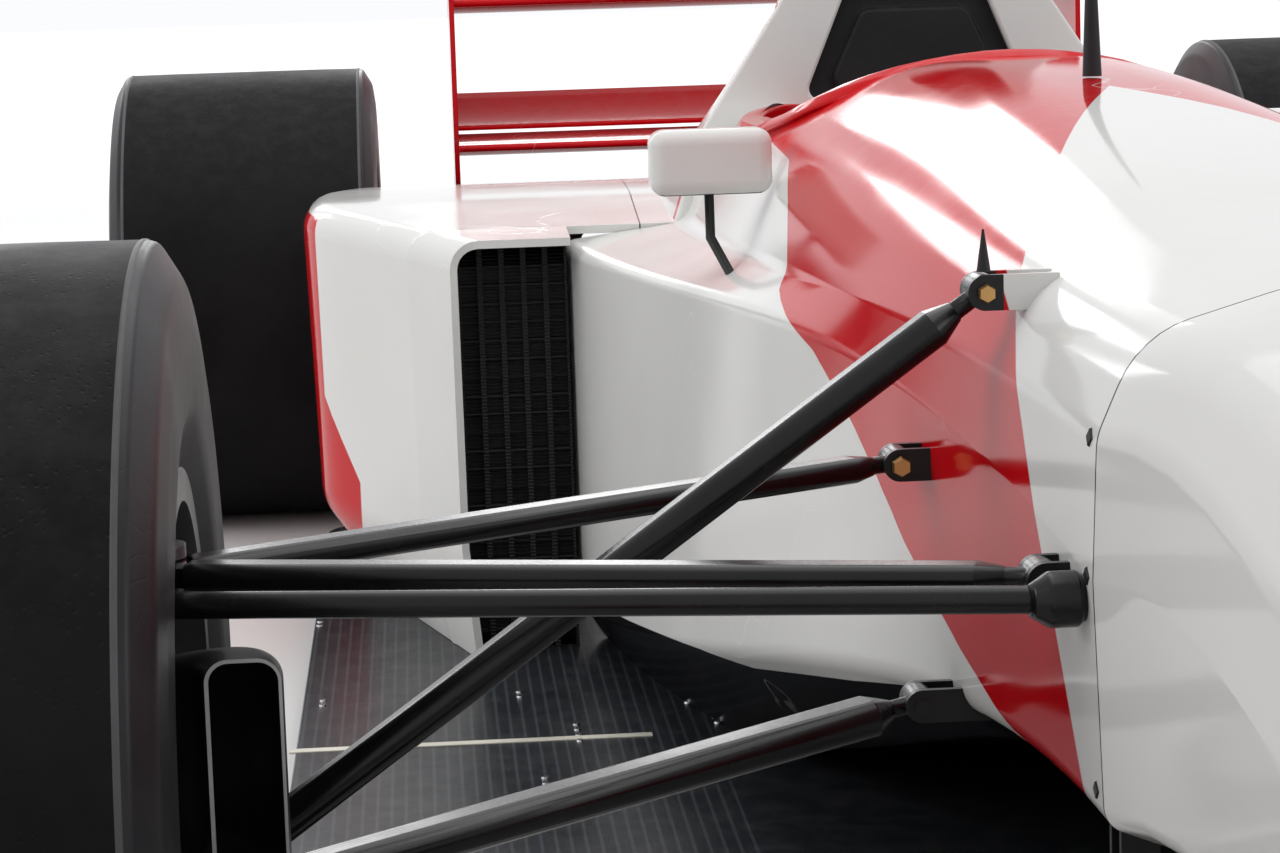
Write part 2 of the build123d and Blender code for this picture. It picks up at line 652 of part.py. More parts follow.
def aerofoil(chord, thickness, camber):
    """Wing section with a round nose: flat span along the first axis, belly downwards."""
    nose = thickness * 0.32
    upper = ThreePointArc((nose * 0.4, nose), (chord * 0.45, thickness * 0.45 - camber), (chord, 1.5))
    lower = ThreePointArc((nose * 0.4, -nose), (chord * 0.42, -thickness * 0.55 - camber), (chord, -1.5))
    front = ThreePointArc((nose * 0.4, -nose), (-nose * 0.5, 0), (nose * 0.4, nose))
    rear = Line((chord, 1.5), (chord, -1.5))
    return make_face([*upper.edges(), *lower.edges(), *front.edges(), *rear.edges()])


def wing_plane(x_low, x_high, station, level, chord, thickness, camber, angle):
    """One wing element between two spans; a positive angle lifts its trailing edge."""
    plane = Plane(origin=(x_low, station, level), x_dir=(0, 1, 0), z_dir=(1, 0, 0))
    return extrude(plane * Rot(0, 0, angle) * aerofoil(chord, thickness, camber), x_high - x_low, dir=(1, 0, 0))


def make_front_wing():
    """Main plane under the nose, hung on two pylons."""
    half = FRONT_WING_HALF - PLATE_T - WING_GAP
    wing = wing_plane(-half, half, *FRONT_MAIN)
    for side in (-1, 1):
        plate = slab((side * 46 - 6, side * 46 + 6), (-1000, -850), (85, 200))
        wing += plate - nose
    return wing


def make_front_flaps():
    """Two slotted flaps on each side, carried on an inner plate that stands on the main plane."""
    half = FRONT_WING_HALF - PLATE_T - WING_GAP
    flaps = None
    for row in FRONT_FLAPS:
        flap = wing_plane(FLAP_INNER, half, *row)
        flaps = flap if flaps is None else flaps + flap
    profile = [(-880, 84, 10), (-640, 112, 10), (-585, 250, 14), (-640, 246, 20), (-860, 130, 20)]
    plate = side_prism(profile, FLAP_INNER - 6, FLAP_INNER)
    flaps += plate - wing_plane(-half, half, *FRONT_MAIN)
    return flaps + mirrored(flaps)


def make_front_endplates():
    """Endplates of the front wing with a foot along the lower edge."""
    profile = [(NOSE_TIP + 4, 40, 16), (-560, 40, 30), (-560, 262, 40), (-700, 274, 60), (NOSE_TIP + 4, 150, 50)]
    plate = side_prism(profile, FRONT_WING_HALF - PLATE_T, FRONT_WING_HALF)
    foot = plan_prism([
        (FRONT_WING_HALF - 60, -1040, 20), (FRONT_WING_HALF, -1060, 4), (FRONT_WING_HALF, -570, 4),
        (FRONT_WING_HALF - 60, -590, 20),
    ], 40, 45)
    plate += foot
    return plate + mirrored(plate)


def make_rear_endplate():
    """Endplate of the rear wing with its cut lower front corner."""
    profile = [(3150, 470, 30), (3150, CAR_HEIGHT, 16), (TAIL, CAR_HEIGHT, 16), (TAIL, 380, 30), (3270, 330, 40)]
    return side_prism(profile, REAR_WING_HALF - PLATE_T, REAR_WING_HALF)


def make_rear_planes(rows):
    """Stack of wing elements between the rear endplates."""
    half = REAR_WING_HALF - PLATE_T - WING_GAP
    planes = None
    for row in rows:
        plane = wing_plane(-half, half, *row)
        planes = plane if planes is None else planes + plane
    return planes


def make_floor():
    """Flat floor: narrow under the tub, full width beside the pods, tucked in before the rear tyres."""
    half = [(190, FLOOR_FRONT, 40), (430, 560, 200), (FLOOR_HALF, 700, 80), (FLOOR_HALF, 2440, 60),
            (520, FLOOR_REAR, 40)]
    outline = half + [(-x, y, r) for x, y, r in reversed(half)]
    return plan_prism(outline, FLOOR_TOP - FLOOR_T, FLOOR_TOP)


def make_diffuser():
    """Curved rising sheet behind the floor with upright fences below it."""
    low = FLOOR_TOP - FLOOR_T
    top = [(FLOOR_REAR, FLOOR_TOP), (FLOOR_REAR + 300, FLOOR_TOP + 40), (DIFFUSER_END, FLOOR_TOP + DIFFUSER_RISE)]
    under = [(y, z - SHEET) for y, z in top]
    curve = ThreePointArc(*top)
    lower = ThreePointArc(*under)
    ends = [Line(top[0], under[0]), Line(top[2], under[2])]
    face = make_face([*curve.edges(), *lower.edges(), *ends[0].edges(), *ends[1].edges()])
    plane = Plane(origin=(-DIFFUSER_HALF, 0, 0), x_dir=(0, 1, 0), z_dir=(1, 0, 0))
    sheet = extrude(plane * face, 2 * DIFFUSER_HALF, dir=(1, 0, 0))
    heel = (DIFFUSER_END, low + 20)
    below = [*lower.edges(), *Line(under[2], heel).edges(), *Line(heel, (FLOOR_REAR, low)).edges(),
             *Line((FLOOR_REAR, low), under[0]).edges()]
    fence_face = plane * make_face(below)
    for x in DIFFUSER_FENCES:
        for side in (-1, 1):
            sheet += Pos(DIFFUSER_HALF + side * x - SHEET / 2, 0, 0) * extrude(fence_face, SHEET, dir=(1, 0, 0))
    return sheet


def make_radiator():
    """Radiator core in the left pod's mouth: upright columns with rows of fins between them."""
    x_low = POD_MOUTH_IN + 8
    x_high = POD_MOUTH_OUT - POD_WALL
    front = POD_FRONT + RADIATOR_SETBACK
    low = FLOOR_TOP
    high = POD_TOP_FRONT - POD_WALL - 4
    pitch = (x_high - x_low) / RADIATOR_COLUMNS
    core = slab((x_low, x_high), (front + 14, front + RADIATOR_T), (low, high))
    for index in range(RADIATOR_COLUMNS + 1):
        x = x_low + index * pitch
        core += slab((max(x - 3, x_low), min(x + 3, x_high)), (front, front + 15), (low, high))
    step = (high - low) / RADIATOR_FINS
    for index in range(1, RADIATOR_FINS):
        z = low + index * step
        core += slab((x_low, x_high), (front + 5, front + 15), (z - 1.2, z + 1.2))
    return core - tub_outer


def make_gearbox():
    """Tapered gearbox casing from the engine's rear face, with its output flanges."""
    table = [
        (ENGINE_END, [(150, 90, 20), (165, 360, 30)]),
        (2700, [(124, 96, 20), (128, 350, 30)]),
        (GEARBOX_END, [(96, 150, 20), (86, 330, 30)]),
    ]
    casing = body_loft(table)
    casing += rod((-OUTPUT_X, WHEELBASE, REAR_TYRE_R - 30), (OUTPUT_X, WHEELBASE, REAR_TYRE_R - 30), 60)
    return casing


def make_crash_structure():
    """Tapered rear crash box with two pylons that carry the lower rear wing."""
    box = body_loft([
        (GEARBOX_END, [(80, 190, 16), (76, 320, 16)]),
        (TAIL - 24, [(46, 240, 12), (44, 310, 12)]),
    ])
    pylons = None
    for side in (-1, 1):
        profile = [(3190, 270, 0), (3320, 280, 0), (3330, 560, 0), (3200, 560, 0)]
        x = side * 34
        plate = side_prism(profile, x - 4, x + 4)
        pylons = plate if pylons is None else pylons + plate
    tower = pylons - rear_lower - slab((-80, 80), (3000, TAIL), (548, 700))
    boss = rod((-JACK_HALF, *JACK_PLACE), (JACK_HALF, *JACK_PLACE), JACK_R + 9)
    return box + tower + boss - rod((-JACK_HALF - 1, *JACK_PLACE), (JACK_HALF + 1, *JACK_PLACE), JACK_R)


def make_exhaust():
    """Left tailpipe: from the engine's side, inside the pod's tail, out behind it."""
    start = (PIPE_X, ENGINE_END - 160, 210)
    path = FilletPolyline(start, (PIPE_X, ENGINE_END + 60, 210), (252, 2735, 165), radius=[400])
    ring = Plane(origin=path @ 0, z_dir=path % 0) * (Circle(PIPE_R) - Circle(PIPE_R - 3))
    return sweep(ring, path=path)


monocoque = make_monocoque()
write(monocoque, "monocoque")
nose = body_loft(NOSE)
write(nose, "nose_cone")
wheel_piece, shaft_piece = make_steering_wheel()
write(wheel_piece, "steering_wheel")
write(shaft_piece, "steering_column")
write_pair(make_side_pod(), "side_pod")
write(make_engine_cover(), "engine_cover")
write(make_headrest(), "headrest")
write(make_seat(), "seat")
mirror_piece = make_mirror()
write(mirror_piece + mirrored(mirror_piece), "mirrors")
write(Pos(0, 703, 757) * Cone(8, 2.5, 130) - tub_outer, "antenna")
write(make_floor(), "floor")
write(make_diffuser(), "diffuser")
radiator = make_radiator()
write(radiator + mirrored(radiator), "radiators")
write(slab((-ENGINE_HALF, ENGINE_HALF), (TUB_REAR, ENGINE_END), (FLOOR_TOP, ENGINE_TOP)), "engine_block")
gearbox = make_gearbox()
write(gearbox, "gearbox")
rear_lower = make_rear_planes(REAR_LOWER)
write(rear_lower, "rear_wing_lower")
write(make_rear_planes(REAR_UPPER), "rear_wing_upper")
write_pair(make_rear_endplate(), "rear_endplate")
write(make_crash_structure(), "rear_crash_structure")
write(slab((-40, 40), (TAIL - 24, TAIL - 6), (246, 304)), "rain_light")
tailpipe = make_exhaust()
write(tailpipe + mirrored(tailpipe), "tailpipes")
write(make_front_wing(), "front_wing")
write(make_front_flaps(), "front_flaps")
write(make_front_endplates(), "front_endplates")

upper = make_wishbone(BALL_UP, UPPER_PIVOTS, UPPER_TUBE)
lower = make_wishbone(BALL_LOW, LOWER_PIVOTS, LOWER_TUBE)
lower += eye(PUSHROD_FOOT, (0, 1, 0), 14, 10) + rod(PUSHROD_FOOT, (PUSHROD_FOOT[0], PUSHROD_FOOT[1], 234), 9)
write_pair(upper, "front_upper_wishbone")
write_pair(lower, "front_lower_wishbone")
pushrod = strut(PUSHROD_FOOT, PUSHROD_TOP, PUSH_TUBE) - eye(PUSHROD_FOOT, (0, 1, 0), 14.3, 60)
pushrod = pushrod - tongue_hole(PUSHROD_TOP)
write(pushrod + mirrored(pushrod), "front_pushrods")
brackets = None
for pivot in UPPER_PIVOTS + LOWER_PIVOTS + [PUSHROD_TOP]:
    bracket = make_bracket(pivot, tub_outer, hanging=pivot == LOWER_PIVOTS[0])
    brackets = bracket if brackets is None else brackets + bracket
write(brackets + mirrored(brackets), "front_brackets")

rear_arms = make_wishbone(REAR_BALL_UP, REAR_UPPER_PIVOTS, REAR_TUBE)
rear_arms_low = make_wishbone(REAR_BALL_LOW, REAR_LOWER_PIVOTS, REAR_TUBE)
write_pair(rear_arms + rear_arms_low, "rear_wishbones")
rear_upright = make_upright(REAR_BALL_UP[2] - REAR_TYRE_R, REAR_BALL_LOW[2] - REAR_TYRE_R)
rear_place = Pos(REAR_WHEEL_X, WHEELBASE, REAR_TYRE_R)
rear_upright_set = rear_place * rear_upright
rear_rod = blade((640, WHEELBASE - 8, 270), (110, 2740, 320), REAR_TUBE)
toe_link = rod((REAR_WHEEL_X + UPRIGHT_IN + 34, WHEELBASE + 96, 300), (70, 3050, 262), LINK_R)
rear_links = rear_rod + toe_link - gearbox - rear_upright_set
write(rear_links + mirrored(rear_links), "rear_links")
rear_brackets = None
for pivot in REAR_UPPER_PIVOTS + REAR_LOWER_PIVOTS:
    bracket = make_bracket(pivot, gearbox, 80)
    rear_brackets = bracket if rear_brackets is None else rear_brackets + bracket
write(rear_brackets + mirrored(rear_brackets), "rear_brackets")

front_upright = make_upright(BALL_UP_Z - FRONT_TYRE_R, BALL_LOW_Z - FRONT_TYRE_R) + steering_arm()
caliper = make_caliper()
front_place = Pos(FRONT_WHEEL_X, 0, FRONT_TYRE_R)
write_pair(front_place * front_upright, "front_upright")
axle_room = rod((KINGPIN_OFFSET + AXLE_IN - AXLE_ROOM, 0, 0), (0, 0, 0), AXLE_R + AXLE_ROOM)
write_pair(make_brake_duct() - front_place * front_upright - front_place * axle_room, "front_brake_duct")
write_pair(front_place * caliper, "front_caliper")
write(rear_upright_set + mirrored(rear_upright_set), "rear_uprights")
rear_caliper = rear_place * caliper
write(rear_caliper + mirrored(rear_caliper), "rear_calipers")
write_pair(front_place * make_tyre(FRONT_TYRE_W, FRONT_TYRE_R), "front_tyre")
write_pair(front_place * make_rim(FRONT_TYRE_W), "front_rim")
write_pair(front_place * make_hub(KINGPIN_OFFSET + AXLE_IN), "front_hub")
write_pair(rear_place * make_tyre(REAR_TYRE_W, REAR_TYRE_R), "rear_tyre")
write_pair(rear_place * make_rim(REAR_TYRE_W), "rear_rim")
write_pair(rear_place * make_hub(KINGPIN_OFFSET - 30), "rear_hub")
shaft = rod((OUTPUT_X + PIN_GAP, WHEELBASE, REAR_TYRE_R), (REAR_BALL_X - 30, WHEELBASE, REAR_TYRE_R), 15)
write_pair(shaft, "driveshaft")
write(make_steering_rack(), "steering_rack")
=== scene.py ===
# %% [markdown]
# # Open wheel racing car
# This lesson dresses a single-seater: white lacquered bodywork with a red chevron, a dark woven floor,
# black satin suspension tubes and slick tyres. The construction arrives as a frame of solids that
# already have the right size and place. We keep that frame as it is, and build the surfaces that the
# eye sees around it: smoother body skins, real tyres, finishes made of nodes, and the small parts
# such as screws, lips and rivets.

# %% Load the frame
import bpy
import bmesh
import json
import math
from mathutils import Matrix, Vector
from mathutils.bvhtree import BVHTree


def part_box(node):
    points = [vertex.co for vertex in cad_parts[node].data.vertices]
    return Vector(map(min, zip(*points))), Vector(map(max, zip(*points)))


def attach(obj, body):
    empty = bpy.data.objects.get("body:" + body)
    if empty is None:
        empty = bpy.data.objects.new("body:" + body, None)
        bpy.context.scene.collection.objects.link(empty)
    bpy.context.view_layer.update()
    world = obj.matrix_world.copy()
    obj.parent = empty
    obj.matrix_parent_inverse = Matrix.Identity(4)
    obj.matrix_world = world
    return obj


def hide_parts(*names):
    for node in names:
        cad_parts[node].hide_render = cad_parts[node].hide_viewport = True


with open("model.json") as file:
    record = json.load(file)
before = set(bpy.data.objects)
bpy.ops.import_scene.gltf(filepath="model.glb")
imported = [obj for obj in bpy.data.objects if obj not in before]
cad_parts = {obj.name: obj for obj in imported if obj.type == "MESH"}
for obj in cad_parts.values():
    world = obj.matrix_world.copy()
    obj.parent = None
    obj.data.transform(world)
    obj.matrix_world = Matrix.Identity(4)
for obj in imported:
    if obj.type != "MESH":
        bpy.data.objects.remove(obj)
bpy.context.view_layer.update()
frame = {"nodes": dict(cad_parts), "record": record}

scene = bpy.context.scene

# %% [markdown]
# A car is drawn in stations. A station is the distance behind the front axle, and the drawings of
# the body below are in millimetres. One small function turns such a point into the metres of the
# frame. The axle's place is read from the frame, so nothing has to be fitted by hand.

# %% Points of the car
MM = 0.001
tyre_low, tyre_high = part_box("front_tyre_left")
AXLE_Y = (tyre_low.y + tyre_high.y) / 2


def at(x, station, z):
    """Point across the car, behind the front axle and above the ground, in millimetres."""
    return Vector((x * MM, AXLE_Y + station * MM, z * MM))


print("front axle at y", round(AXLE_Y, 4))

# %% [markdown]
# ## The camera
# The photograph was taken low, close to the right front wheel, with a long lens and the camera a
# little tilted. Yaw, pitch and roll turn into three axes, which are the columns of the camera's
# matrix. The lens is given for a sensor 36 mm wide.

# %% Camera
CAMERA_PLACE = (-0.55592, -3.08678, 0.78900)
CAMERA_YAW, CAMERA_PITCH, CAMERA_ROLL = (math.radians(v) for v in (3.7737, 8.0596, -1.8186))
LENS_MM = 90.303

ahead = Vector((math.sin(CAMERA_YAW) * math.cos(CAMERA_PITCH),
                math.cos(CAMERA_YAW) * math.cos(CAMERA_PITCH), -math.sin(CAMERA_PITCH)))
level = Vector((math.cos(CAMERA_YAW), -math.sin(CAMERA_YAW), 0))
upward = level.cross(ahead)
right = math.cos(CAMERA_ROLL) * level + math.sin(CAMERA_ROLL) * upward
top = -math.sin(CAMERA_ROLL) * level + math.cos(CAMERA_ROLL) * upward
turn = Matrix((right, top, -ahead)).transposed().to_4x4()

camera_data = bpy.data.cameras.new("camera")
camera_data.sensor_width = 36
camera_data.lens = LENS_MM
camera_data.clip_start = 0.02
camera = bpy.data.objects.new("camera", camera_data)
camera.matrix_world = Matrix.Translation(CAMERA_PLACE) @ turn
scene.collection.objects.link(camera)
scene.camera = camera
print("camera looks along", [round(v, 3) for v in ahead])

# %% [markdown]
# ## Small tools for nodes
# A shader is a graph, and writing one by hand takes three lines for every node. The function below
# places a node, sets its properties, and fills or links its sockets in one go, so that the recipes
# further down read like lists of ingredients.

# %% Node tools


def add(tree, kind, inputs=None, **settings):
    """Place a node. Inputs are values, or sockets that feed it."""
    made = tree.nodes.new(kind)
    for key, value in settings.items():
        setattr(made, key, value)
    for key, value in (inputs or {}).items():
        socket = made.inputs[key]
        if isinstance(value, bpy.types.NodeSocket):
            tree.links.new(value, socket)
        else:
            socket.default_value = value
    return made


def maths(tree, operation, first, second=0.0, third=0.0):
    """A Math node's result."""
    node = add(tree, "ShaderNodeMath", {0: first, 1: second, 2: third}, operation=operation)
    return node.outputs[0]


def noise(tree, place, scale, detail=2.0, rough=0.5):
    """A Noise Texture's value."""
    sizes = {"Vector": place, "Scale": scale, "Detail": detail, "Roughness": rough}
    return add(tree, "ShaderNodeTexNoise", sizes).outputs[0]


def ramp(tree, value, low, high, start=0.0, end=1.0):
    """A value between low and high, stretched to run from start to end."""
    places = {0: value, 1: low, 2: high, 3: start, 4: end}
    return add(tree, "ShaderNodeMapRange", places, clamp=True).outputs[0]


def blend_colours(tree, share, first, second):
    """One colour over another by a mask."""
    node = add(tree, "ShaderNodeMix", data_type="RGBA")
    for index, value in ((0, share), (6, first), (7, second)):
        if isinstance(value, bpy.types.NodeSocket):
            tree.links.new(value, node.inputs[index])
        else:
            node.inputs[index].default_value = value
    return node.outputs[2]


def new_group(name, inputs, outputs):
    """An empty node group with named sockets. Each is (name, kind, default)."""
    tree = bpy.data.node_groups.new(name, "ShaderNodeTree")
    for label, kind, default in inputs:
        socket = tree.interface.new_socket(label, in_out="INPUT", socket_type="NodeSocket" + kind)
        if default is not None:
            socket.default_value = default
    for label, kind in outputs:
        tree.interface.new_socket(label, in_out="OUTPUT", socket_type="NodeSocket" + kind)
    return tree, tree.nodes.new("NodeGroupInput").outputs, tree.nodes.new("NodeGroupOutput").inputs


def use(tree, group, **inputs):
    """Place a group with its own values and return its outputs. Underscores stand for spaces."""
    named = {key.replace("_", " "): value for key, value in inputs.items()}
    return add(tree, "ShaderNodeGroup", named, node_tree=group).outputs


# %% [markdown]
# ## Effects that several finishes share
# Lacquer is never perfectly flat, so its light wobbles a little: that is the orange peel. Clear coat
# on an old racing body also crazes into hairline cracks, and dust settles on what faces upwards. Each
# effect is a group with named sockets, built once and used in many materials with its own values.

# %% Orange peel, hairline cracks, dust
PEEL, peel_in, peel_out = new_group(
    "lacquer_surface",
    [("Vector", "Vector", None), ("Peel", "Float", 0.04), ("Crack Size", "Float", 3.0),
     ("Crack Amount", "Float", 0.5)],
    [("Normal", "Vector"), ("Crack", "Float"), ("Rough", "Float")])
peel_height = noise(PEEL, peel_in["Vector"], 420.0, 2.0)
wander = add(PEEL, "ShaderNodeTexNoise", {"Vector": peel_in["Vector"], "Scale": 5.0, "Detail": 3.0})
shaken = add(PEEL, "ShaderNodeVectorMath", {0: wander.outputs[1], 1: (0.22, 0.22, 0.22)},
             operation="MULTIPLY")
moved = add(PEEL, "ShaderNodeVectorMath", {0: peel_in["Vector"], 1: shaken.outputs[0]}, operation="ADD")
cells = add(PEEL, "ShaderNodeTexVoronoi", {"Vector": moved.outputs[0], "Scale": peel_in["Crack Size"]},
            feature="DISTANCE_TO_EDGE")
thin = ramp(PEEL, cells.outputs[0], 0.0005, 0.0035, 1.0, 0.0)
patches = ramp(PEEL, noise(PEEL, peel_in["Vector"], 2.4, 1.0), 0.52, 0.60)
crack = maths(PEEL, "MULTIPLY", maths(PEEL, "MULTIPLY", thin, patches), peel_in["Crack Amount"])
peel_bump = add(PEEL, "ShaderNodeBump",
                {"Strength": peel_in["Peel"], "Distance": 0.0006, "Height": peel_height})
crack_bump = add(PEEL, "ShaderNodeBump", {"Strength": 0.5, "Distance": 0.0004, "Height": crack,
                                          "Normal": peel_bump.outputs[0]}, invert=True)
PEEL.links.new(crack_bump.outputs[0], peel_out["Normal"])
PEEL.links.new(crack, peel_out["Crack"])
rough = ramp(PEEL, noise(PEEL, peel_in["Vector"], 9.0, 4.0), 0.3, 0.75, 0.07, 0.13)
PEEL.links.new(rough, peel_out["Rough"])


def upwardness(tree):
    """How far a surface faces upwards, from -1 to 1."""
    normal = add(tree, "ShaderNodeNewGeometry").outputs["Normal"]
    return add(tree, "ShaderNodeSeparateXYZ", {0: normal}).outputs[2]


DUST, dust_in, dust_out = new_group(
    "dust", [("Vector", "Vector", None), ("Amount", "Float", 0.3)], [("Mask", "Float")])
settled = ramp(DUST, upwardness(DUST), 0.35, 0.95)
specks = ramp(DUST, noise(DUST, dust_in["Vector"], 38.0, 6.0, 0.7), 0.42, 0.72)
lying = maths(DUST, "MULTIPLY", maths(DUST, "MULTIPLY", settled, specks), dust_in["Amount"])
DUST.links.new(lying, dust_out["Mask"])
print("groups:", [g.name for g in bpy.data.node_groups])

# %% [markdown]
# The livery is cut by straight masking tape, so each colour border is where a plane meets the body.
# The group below gives 1 on one side of such a plane and 0 on the other. Because the car is the same
# left and right, it reads the distance from the middle instead of the signed X.

# %% A straight paint border
PAINT_BLUR = 0.0004
PLANE_SOCKETS = [("Vector", "Vector", None), ("Point", "Vector", None), ("Direction", "Vector", None)]


def plane_distance(tree, sockets):
    """How far a place is from a plane, with the right half of the car folded onto the left."""
    x, y, z = add(tree, "ShaderNodeSeparateXYZ", {0: sockets["Vector"]}).outputs
    folded = add(tree, "ShaderNodeCombineXYZ", {0: maths(tree, "ABSOLUTE", x), 1: y, 2: z}).outputs[0]
    offset = add(tree, "ShaderNodeVectorMath", {0: folded, 1: sockets["Point"]}, operation="SUBTRACT")
    along = {0: offset.outputs[0], 1: sockets["Direction"]}
    return add(tree, "ShaderNodeVectorMath", along, operation="DOT_PRODUCT").outputs["Value"]


BORDER, border_in, border_out = new_group("paint_border", PLANE_SOCKETS, [("Mask", "Float")])
past_plane = ramp(BORDER, plane_distance(BORDER, border_in), -PAINT_BLUR, PAINT_BLUR)
BORDER.links.new(past_plane, border_out["Mask"])


def plane_through(first, second, third):
    """Point and unit normal of the plane through three points of the car's left side, in metres."""
    a, b, c = (at(*p) for p in (first, second, third))
    return a, (b - a).cross(c - a).normalized()


def border_mask(tree, place, point, normal):
    """1 on the side that the normal points to."""
    return use(tree, BORDER, Vector=place, Point=tuple(point), Direction=tuple(normal))["Mask"]


# %% [markdown]
# Panels meet in thin dark gaps. A gap is where the distance to a plane is smaller than half its width,
# again measured from the middle of the car, so that both sides have it.

# %% A panel gap
GAP, gap_in, gap_out = new_group(
    "panel_gap", PLANE_SOCKETS + [("Half Width", "Float", 0.0008)], [("Mask", "Float")])
gap_depth = maths(GAP, "DIVIDE", maths(GAP, "ABSOLUTE", plane_distance(GAP, gap_in)), gap_in["Half Width"])
GAP.links.new(ramp(GAP, gap_depth, 0.7, 1.2, 1.0, 0.0), gap_out["Mask"])
print("groups now:", len(bpy.data.node_groups))

# %% [markdown]
# Carbon cloth is a twill: bundles of fibre pass over two and under two, shifted by one each row.
# Two wave patterns at right angles, offset on every other row, give the look at a distance. The
# group returns the light and dark of the bundles and a height for the bump.

# %% Woven cloth
WEAVE, weave_in, weave_out = new_group(
    "twill_weave", [("Vector", "Vector", None), ("Scale", "Float", 250.0)],
    [("Tone", "Float"), ("Height", "Float")])
scaled = add(WEAVE, "ShaderNodeVectorMath", {0: weave_in["Vector"], "Scale": weave_in["Scale"]},
             operation="SCALE")
axes = add(WEAVE, "ShaderNodeSeparateXYZ", {0: scaled.outputs[0]}).outputs
across = maths(WEAVE, "ADD", axes[0], axes[2])
bundle = maths(WEAVE, "ADD", maths(WEAVE, "FLOOR", across), maths(WEAVE, "FLOOR", axes[1]))
diagonal = maths(WEAVE, "FRACT", maths(WEAVE, "MULTIPLY", bundle, 0.25))
over = maths(WEAVE, "LESS_THAN", diagonal, 0.49)
warp = maths(WEAVE, "PINGPONG", across, 0.5)
weft = maths(WEAVE, "PINGPONG", axes[1], 0.5)
strand = add(WEAVE, "ShaderNodeMix", {0: over, 2: warp, 3: weft}, data_type="FLOAT")
WEAVE.links.new(ramp(WEAVE, over, 0.0, 1.0, 0.35, 1.0), weave_out["Tone"])
WEAVE.links.new(strand.outputs[0], weave_out["Height"])

# %% [markdown]
# ## Finishes
# `start_finish` opens a material with the object's own coordinates, so that a pattern sticks to its
# piece when the piece moves. Constants such as the coat or the index of refraction sit directly on
# the shader's sockets.

# %% Opening a finish


def start_finish(name, **constants):
    """A new material: its tree, its shader and its object coordinates."""
    material = bpy.data.materials.new(name)
    material.use_nodes = True
    tree = material.node_tree
    shader = tree.nodes["Principled BSDF"]
    for key, value in constants.items():
        shader.inputs[key.replace("_", " ")].default_value = value
    place = add(tree, "ShaderNodeTexCoord").outputs["Object"]
    return material, tree, shader, place


def feed(tree, shader, **sockets):
    """Link results to the shader's sockets."""
    for key, value in sockets.items():
        tree.links.new(value, shader.inputs[key.replace("_", " ")])


# Paints have a second tone for the places where they have faded a little.
WHITE, WHITE_FADED = (0.78, 0.775, 0.755, 1), (0.74, 0.735, 0.71, 1)
RED, RED_FADED = (0.60, 0.003, 0.008, 1), (0.56, 0.003, 0.007, 1)
BLACK, BARE_BLACK = (0.012, 0.012, 0.013, 1), (0.010, 0.010, 0.011, 1)
CRACK_PALE, GAP_DARK = (0.93, 0.92, 0.90, 1), (0.045, 0.045, 0.045, 1)
DUST_ON_PAINT, DUST_ON_BLACK = (0.55, 0.53, 0.50, 1), (0.24, 0.23, 0.22, 1)

# %% [markdown]
# The body paint is a white base under a clear coat. The coat and the plain shine are both set weak,
# because at a flat angle they would wash the red out. The chevron on the tub has two borders. The
# front one is a single plane from the antenna down to the lower edge. The rear one bends, so it is a
# line drawn in side view: a curve node turns the place along the car into a height, and what lies
# above that height is red. The same tool draws the edge under which the tub is bare black.

# %% Lacquer with its livery
FRONT_BORDER = [(0, 640, 690), (200, -20, 540), (197, -176, 322)]
REAR_BORDER = [(-60, 300), (26, 318), (126, 341), (190, 360), (271, 386), (357, 423), (453, 458),
               (568, 490), (774, 518), (948, 581), (1045, 612), (1640, 640)]
BLACK_EDGE = [(-300, 312), (-71, 312), (100, 303), (284, 281), (512, 236), (817, 182), (979, 167),
              (1302, 130), (1640, 96)]
LINE_START, LINE_LONG = -400, 2100


def above_line(tree, place, points):
    """1 above a bent line of (station, z) drawn in side view."""
    x, y, z = add(tree, "ShaderNodeSeparateXYZ", {0: place}).outputs
    station = maths(tree, "DIVIDE", maths(tree, "SUBTRACT", y, at(0, LINE_START, 0).y), LINE_LONG * MM)
    bend = add(tree, "ShaderNodeFloatCurve", {"Value": station})
    curve = bend.mapping.curves[0]
    spots = [((s - LINE_START) / LINE_LONG, height * MM) for s, height in points]
    curve.points[0].location, curve.points[-1].location = spots[0], spots[-1]
    for spot in spots[1:-1]:
        curve.points.new(*spot)
    for point in curve.points:
        point.handle_type = "VECTOR"
    bend.mapping.update()
    return ramp(tree, maths(tree, "SUBTRACT", z, bend.outputs[0]), -PAINT_BLUR, PAINT_BLUR)


def lacquer(name, livery, crack_size=2.2, crack_amount=0.35, dust=0.06, bare=None, lines=()):
    """White paint under clear coat. Livery returns the mask of the red, or None. Below the line bare
    the paint is black, and lines are panel gaps of (point, direction, half width)."""
    material, tree, shader, place = start_finish(name, Coat_Weight=0.05, Coat_Roughness=0.03,
                                                 Specular_IOR_Level=0.09)
    surface = use(tree, PEEL, Vector=place, Peel=0.035, Crack_Size=crack_size, Crack_Amount=crack_amount)
    faded = ramp(tree, noise(tree, place, 3.0, 3.0), 0.35, 0.7)
    colour = blend_colours(tree, faded, WHITE, WHITE_FADED)
    mask = livery(tree, place)
    if mask is not None:
        colour = blend_colours(tree, mask, colour, blend_colours(tree, faded, RED, RED_FADED))
    if bare is not None:
        colour = blend_colours(tree, above_line(tree, place, bare), BARE_BLACK, colour)
    colour = blend_colours(tree, surface["Crack"], colour, CRACK_PALE)
    for point, direction, half in lines:
        gap = use(tree, GAP, Vector=place, Point=tuple(at(*point)), Direction=direction,
                  Half_Width=half * MM)
        colour = blend_colours(tree, gap["Mask"], colour, GAP_DARK)
    dusty = use(tree, DUST, Vector=place, Amount=dust)["Mask"]
    feed(tree, shader, Base_Color=blend_colours(tree, dusty, colour, DUST_ON_PAINT),
         Roughness=surface["Rough"], Normal=surface["Normal"])
    return material


